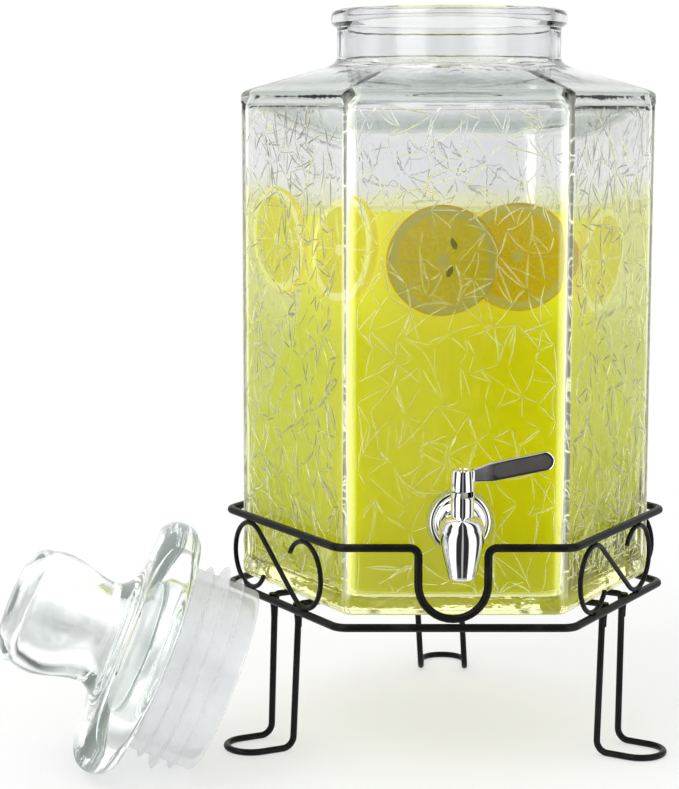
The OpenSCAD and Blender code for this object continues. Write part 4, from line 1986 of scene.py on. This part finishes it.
    def _inlay_outline(self, radius: float, count: int) -> list[tuple[float, float]]:
        """The insert's long round-ended outline, in step with the blade's own points.

        Args:
            radius: Half its width.
            count: How many points it takes.

        Returns:
            Its points.
        """
        begin, end = self.inlay_start, self.blade_length - 0.7
        straight = 11
        ends = count - 2 * straight
        left_lower = [(-90.0 - 90.0 * i / 4.0) for i in range(4, 0, -1)]
        points = [
            (begin + radius * math.cos(math.radians(a)), radius * math.sin(math.radians(a))) for a in left_lower
        ]
        lower_run = straight - len(left_lower)
        points += [(begin + (end - begin) * i / lower_run, -radius) for i in range(lower_run)]
        points += arc((end, 0.0), radius, -90.0, 90.0, ends - 1)
        points += [(end + (begin - end) * (i + 1) / lower_run, radius) for i in range(lower_run)]
        points += [
            (begin + radius * math.cos(math.radians(a)), radius * math.sin(math.radians(a)))
            for a in (112.5, 135.0, 157.5, 179.0)
        ]
        return points

    def inlay(self) -> bpy.types.Object:
        """The dark insert in the lever's face.

        Returns:
            The finished piece.
        """
        count = len(self._blade_outline())
        levels = ((3.9, 1.05), (3.96, 1.5), (3.92, 1.78), (3.7, 1.84), (3.2, 1.86))
        rings = [
            [self.blade @ at(s, v, height) for s, v in self._inlay_outline(radius, count)]
            for radius, height in levels
        ]
        skin = Shaper("lever_inlay_insert", rings[0])
        for ring in rings[1:]:
            skin.pull(ring)
        skin.cap()
        return skin.done(34.0)

    def build(self) -> None:
        """Makes the tap and dresses the hidden CAD parts inside it."""
        chrome = ChromePlate()
        mount(dress(self.body(), chrome), Body.JAR, ["tap_body"])
        mount(dress(self.collar(), chrome), Body.JAR, ["tap_collar"])
        mount(dress(self.washer(), SoftClear()), Body.JAR, ["outer_washer"])
        mount(dress(self.cap(), chrome), Body.HANDLE, ["handle_cap"])
        mount(dress(self.lever(), chrome), Body.HANDLE, ["lever_arm"])
        mount(dress(self.inlay(), DarkInlay()), Body.HANDLE, ["lever_inlay"])
        rubber = Moulded("grey seal rubber", (0.10, 0.10, 0.10), (0.16, 0.16, 0.16), 0.6)
        plastic = Moulded("off-white moulded plastic", (0.68, 0.67, 0.62), (0.80, 0.79, 0.75), 0.4)
        steel = Moulded("plain steel", (0.45, 0.45, 0.46), (0.60, 0.60, 0.61), 0.25, 1.0)
        kept = {
            "inner_washer": rubber, "plunger_seal": rubber, "stem_o_ring": rubber,
            "shank_nut": plastic, "valve_stem": plastic, "cross_pin": steel,
        }
        for node, finish in kept.items():
            dress(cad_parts[node], finish)
            log.info("%s keeps its own mesh, in %s", node, finish.label)


# ---------------------------------------------------------------------------
# Lid
# ---------------------------------------------------------------------------


@dataclass
class StopperLid:
    """The hollow glass stopper lid with its knob and sealing sleeve, leaning on the table. Sizes in millimetres."""

    x: float = -185.0
    y: float = -96.0
    z: float = 72.2
    yaw: float = 5.3
    lean: float = 22.8
    flange_mid: float = 13.0
    flange_r: float = 77.2
    flange_t: float = 26.0
    edge_r: float = 12.5
    plug_r: float = 50.0
    sleeve_r: float = 55.6
    fin_r: float = 62.6
    plug_h: float = 42.0
    wall: float = 7.0
    knob_h: float = 65.0
    knob_r: float = 36.3
    knob_neck: float = 30.4
    knob_foot: float = 41.0

    @property
    def seat(self) -> Matrix:
        """Puts the lid, drawn knob up on its flange, where it lies.

        Returns:
            Its place as a matrix.
        """
        return (
            Matrix.Translation(at(self.x, self.y, self.z))
            @ Matrix.Rotation(math.radians(self.yaw), 4, "Z")
            @ Matrix.Rotation(math.radians(self.lean - 90.0), 4, "Y")
            @ Matrix.Translation(at(0, 0, -self.flange_mid))
        )

    def _knob_width(self, s: float) -> float:
        """Half width of the knob from its foot, 0, to its top, 1.

        Args:
            s: Share of the way up the knob.

        Returns:
            The half width in millimetres.
        """
        if s < 0.18:
            return self.knob_neck + (self.knob_foot - self.knob_neck) * (1.0 - s / 0.18) ** 2
        if s < 0.66:
            swing = 1.0 - math.cos(math.pi * (s - 0.18) / 0.48)
            return self.knob_neck + (self.knob_r - self.knob_neck) * swing / 2.0
        if s < 0.86:
            return self.knob_r - 2.4 * ((s - 0.66) / 0.2) ** 2
        return (self.knob_r - 2.4) * math.sqrt(max(0.0, 1.0 - ((s - 0.86) / 0.14) ** 2 * 0.5))

    def glass(self) -> bpy.types.Object:
        """The hollow glass, from the inside of the knob out over the flange and up the knob.

        Returns:
            The finished piece.
        """
        steps = 22
        inner = [
            (self._knob_width(i / steps) - self.wall, self.flange_t + i / steps * (self.knob_h - self.wall))
            for i in range(steps, -1, -1)
        ]
        roof = self.flange_t + self.knob_h - self.wall
        top = roof + self.wall
        outer = [(self._knob_width(i / steps), self.flange_t + i / steps * self.knob_h) for i in range(steps + 1)]
        edge_x = self.flange_r - self.edge_r
        side = self.plug_r - 0.05
        profile = (
            [(3.0, roof + 0.3), (10.0, roof + 0.2)]
            + inner
            + [(23.6, 20.5), (24.6, 19.2), (38.0, 19.0), (41.4, 18.3), (42.8, 16.4), (43.0, 14.0), (43.0, -10.0)]
            + [(43.0, -40.2), (43.6, -41.6), (45.2, -self.plug_h), (48.2, -self.plug_h), (49.5, -41.4), (side, -40.0)]
            + [(side, -20.0), (side, -3.0), (50.4, -0.9), (51.8, 0.0), (58.0, 0.0), (edge_x, 0.02)]
            + arc((edge_x, self.edge_r), self.edge_r, -78.0, 0.0, 7)
            + arc((edge_x, self.flange_t - self.edge_r), self.edge_r, 4.0, 90.0, 8)
            + [(58.0, self.flange_t), (49.0, self.flange_t - 0.3), (44.0, self.flange_t - 0.2)]
            + outer[1:]
            + [(16.0, top + 0.6), (8.0, top + 1.2), (3.0, top + 1.5)]
        )
        return turned("lid_glass", profile, self.seat, steps=112)

    def sleeve(self) -> bpy.types.Object:
        """The milky sealing sleeve with its three soft fins.

        Returns:
            The finished piece.
        """
        profile: list[tuple[float, float]] = [
            (50.05, -41.0), (50.6, -self.plug_h), (53.8, -self.plug_h), (55.1, -41.4), (self.sleeve_r, -40.2),
        ]
        reach = self.fin_r - self.sleeve_r
        for level, share in ((-30.0, 0.5), (-20.0, 1.0), (-11.0, 0.5)):
            tip = self.sleeve_r + reach * share
            profile += [
                (self.sleeve_r, level - 1.3), (self.sleeve_r + 0.5, level - 0.85), (tip - 0.6, level - 0.5),
                (tip, level), (tip - 0.6, level + 0.5), (self.sleeve_r + 0.5, level + 0.85),
                (self.sleeve_r, level + 1.3),
            ]
        profile += [(self.sleeve_r, -3.4), (55.2, -2.3), (54.2, -2.0), (50.6, -2.0), (50.05, -2.6), (50.05, -20.0)]
        return turned("lid_gasket_sleeve", profile, self.seat, steps=112, hollow=True)

    def build(self) -> None:
        """Makes the lid."""
        # The lid glass's faint glow is painted light that whitens the glass.
        clear = PressedGlass(label="lid glass", waviness=0.0004, glow=0.045)
        mount(dress(self.glass(), clear), Body.LID, ["lid"])
        mount(dress(self.sleeve(), GasketPlastic()), Body.LID, ["lid_gasket"])


# ---------------------------------------------------------------------------
# Table, light and camera
# ---------------------------------------------------------------------------


@dataclass
class Studio:
    """A white table in soft light, with darker bands that show only in glass and chrome."""

    camera_place: tuple[float, float, float] = (-0.0706, -1.2888, 0.386)
    pitch: float = 7.866
    yaw: float = 0.19
    roll: float = 0.046
    lens: float = 95.45
    table_r: float = 9.0

    def bands(self, look: Look, x: Wave, y: Wave) -> bpy.types.NodeSocket:
        """Light and dark upright bands by the bearing from straight in front, which chrome and glass mirror.

        Args:
            look: The node tree to build in.
            x: Sideways part of a direction or place.
            y: Front-to-back part of it.

        Returns:
            The colour socket.
        """
        stops = [
            (0.0, (0.6, 0.6, 0.6)), (0.012, (0.5, 0.5, 0.5)), (0.026, (0.03, 0.03, 0.03)), (0.12, (0.03, 0.03, 0.03)),
            (0.16, (1.7, 1.7, 1.7)), (0.30, (1.9, 1.9, 1.9)), (0.35, (0.05, 0.05, 0.05)), (0.43, (0.05, 0.05, 0.05)),
            (0.49, (1.1, 1.1, 1.1)), (0.56, (1.0, 1.0, 1.0)), (0.61, (0.5, 0.5, 0.5)), (0.74, (0.5, 0.5, 0.5)),
            (0.82, (1.0, 1.0, 1.0)), (1.0, (1.0, 1.0, 1.0)),
        ]
        bearing = abs(x.call("ARCTAN2", y * -1.0) / math.pi)
        return look.add("ShaderNodeValToRGB", {"stops": stops}, {0: bearing}).outputs[0]

    def table(self) -> None:
        """The pale round table top, fading to plain white far out."""
        clear_selection()
        bpy.ops.mesh.primitive_circle_add(vertices=96, radius=self.table_r, fill_type="NGON")
        top = bpy.context.object
        top.name = "table_top"
        material = bpy.data.materials.new("white table")
        material.use_nodes = True
        look = Look(material.node_tree)
        x, y, _ = look.parts(look.place())
        reach = (x * x + y * y) ** 0.5
        far = reach.step(0.25, 0.9) * 0.45 + 0.55
        glossy = look.wave("ShaderNodeLightPath", {}, {}, "Is Glossy Ray")
        banded = glossy * reach.step(0.16, 0.3)
        light = look.blend(banded, (1.0, 1.0, 1.0), self.bands(look, x, y))
        far = far + (1.0 - far) * banded
        paper = look.principled({"Base Color": (0.93, 0.93, 0.93), "Roughness": 0.7, "Specular IOR Level": 0.1})
        glow = look.add("ShaderNodeEmission", {}, {"Color": light, "Strength": 1.0}).outputs[0]
        mixed = look.add("ShaderNodeMixShader", {}, {0: far, 1: paper, 2: glow})
        look.surface(mixed.outputs[0])
        top.data.materials.append(material)

    def surroundings(self) -> None:
        """White all round, with dark bands for reflections and for strongly bent light."""
        world = bpy.data.worlds.new("soft studio")
        bpy.context.scene.world = world
        world.use_nodes = True
        look = Look(world.node_tree)
        direction = look.add("ShaderNodeTexCoord", {}, {}).outputs["Generated"]
        x, y, z = look.parts(direction)
        shiny = self.bands(look, x, y)
        bearing = abs(x.call("ARCTAN2", y * -1.0) / math.pi)
        fold = abs((bearing * 2.0).call("FRACT") - 0.5) * 2.0
        bent = (1.0 - fold).step(0.55, 0.85)
        high = z.step(0.45, 0.7)
        through = 1.0 - bent * 0.6 * (1.0 - high) - high * 0.3
        path = look.add("ShaderNodeLightPath", {}, {})
        dimmed = look.blend(through, (0.02, 0.03, 0.025), (1.0, 1.0, 1.0))
        through_light = look.blend(Wave(look, path.outputs["Is Transmission Ray"]), (1.0, 1.0, 1.0), dimmed)
        shown = look.blend(Wave(look, path.outputs["Is Glossy Ray"]), through_light, shiny)
        seen = look.blend(Wave(look, path.outputs["Is Camera Ray"]), shown, (1.0, 1.0, 1.0))
        background = look.add("ShaderNodeBackground", {}, {"Color": seen, "Strength": 1.0})
        look.add("ShaderNodeOutputWorld", {}, {"Surface": background.outputs[0]})

    def lamp(self) -> None:
        """One broad soft lamp over the left shoulder."""
        clear_selection()
        bpy.ops.object.light_add(type="AREA", location=(-0.9, -0.8, 1.7))
        lamp = bpy.context.object
        lamp.name = "soft_lamp"
        lamp.data.shape = "DISK"
        lamp.data.size = 1.2
        lamp.data.energy = 9.0
        aim = Vector((0.0, 0.0, 0.2)) - lamp.location
        lamp.rotation_euler = aim.to_track_quat("-Z", "Y").to_euler()

    def camera(self) -> None:
        """The camera, level with the jar's neck and looking slightly down."""
        clear_selection()
        bpy.ops.object.camera_add(location=self.camera_place)
        camera = bpy.context.object
        camera.rotation_euler = (
            Matrix.Rotation(math.radians(-self.yaw), 3, "Z")
            @ Matrix.Rotation(math.radians(90.0 - self.pitch), 3, "X")
            @ Matrix.Rotation(math.radians(self.roll), 3, "Z")
        ).to_euler()
        camera.data.sensor_width = 36.0
        camera.data.sensor_fit = "AUTO"
        camera.data.lens = self.lens
        bpy.context.scene.camera = camera

    def build(self) -> None:
        """Sets up the table, the light and the camera."""
        self.table()
        self.surroundings()
        self.lamp()
        self.camera()
        bpy.context.scene.view_settings.view_transform = "Standard"


def main() -> None:
    """Builds every sub-assembly in order."""
    logging.basicConfig(level=logging.INFO, format="%(name)s: %(message)s")
    Studio().build()
    WireStand().build()
    GlassJar().build()
    Lemonade().build()
    # pale=True gives the slices on the side faces a paler, brighter glowing copy of the lemon finish: painted light.
    slices = (
        LemonSlice("lemon_slice_far_left", 210, 99, -27, 307, 4, pale=True),
        LemonSlice("lemon_slice_left", 210, 90, 31, 305, -5, pale=True),
        LemonSlice("lemon_slice_front", 270, 99, -8, 299, 3, pips=((6, 10, 20), (4, -6, -25))),
        LemonSlice("lemon_slice_middle", 270, 84, 36, 301, -4, ripe=True),
        LemonSlice("lemon_slice_right", 330, 99, -4, 297, 5, pale=True),
    )
    for piece in slices:
        piece.build()
    Tap().build()
    StopperLid().build()
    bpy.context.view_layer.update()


if __name__ == "__main__":
    main()
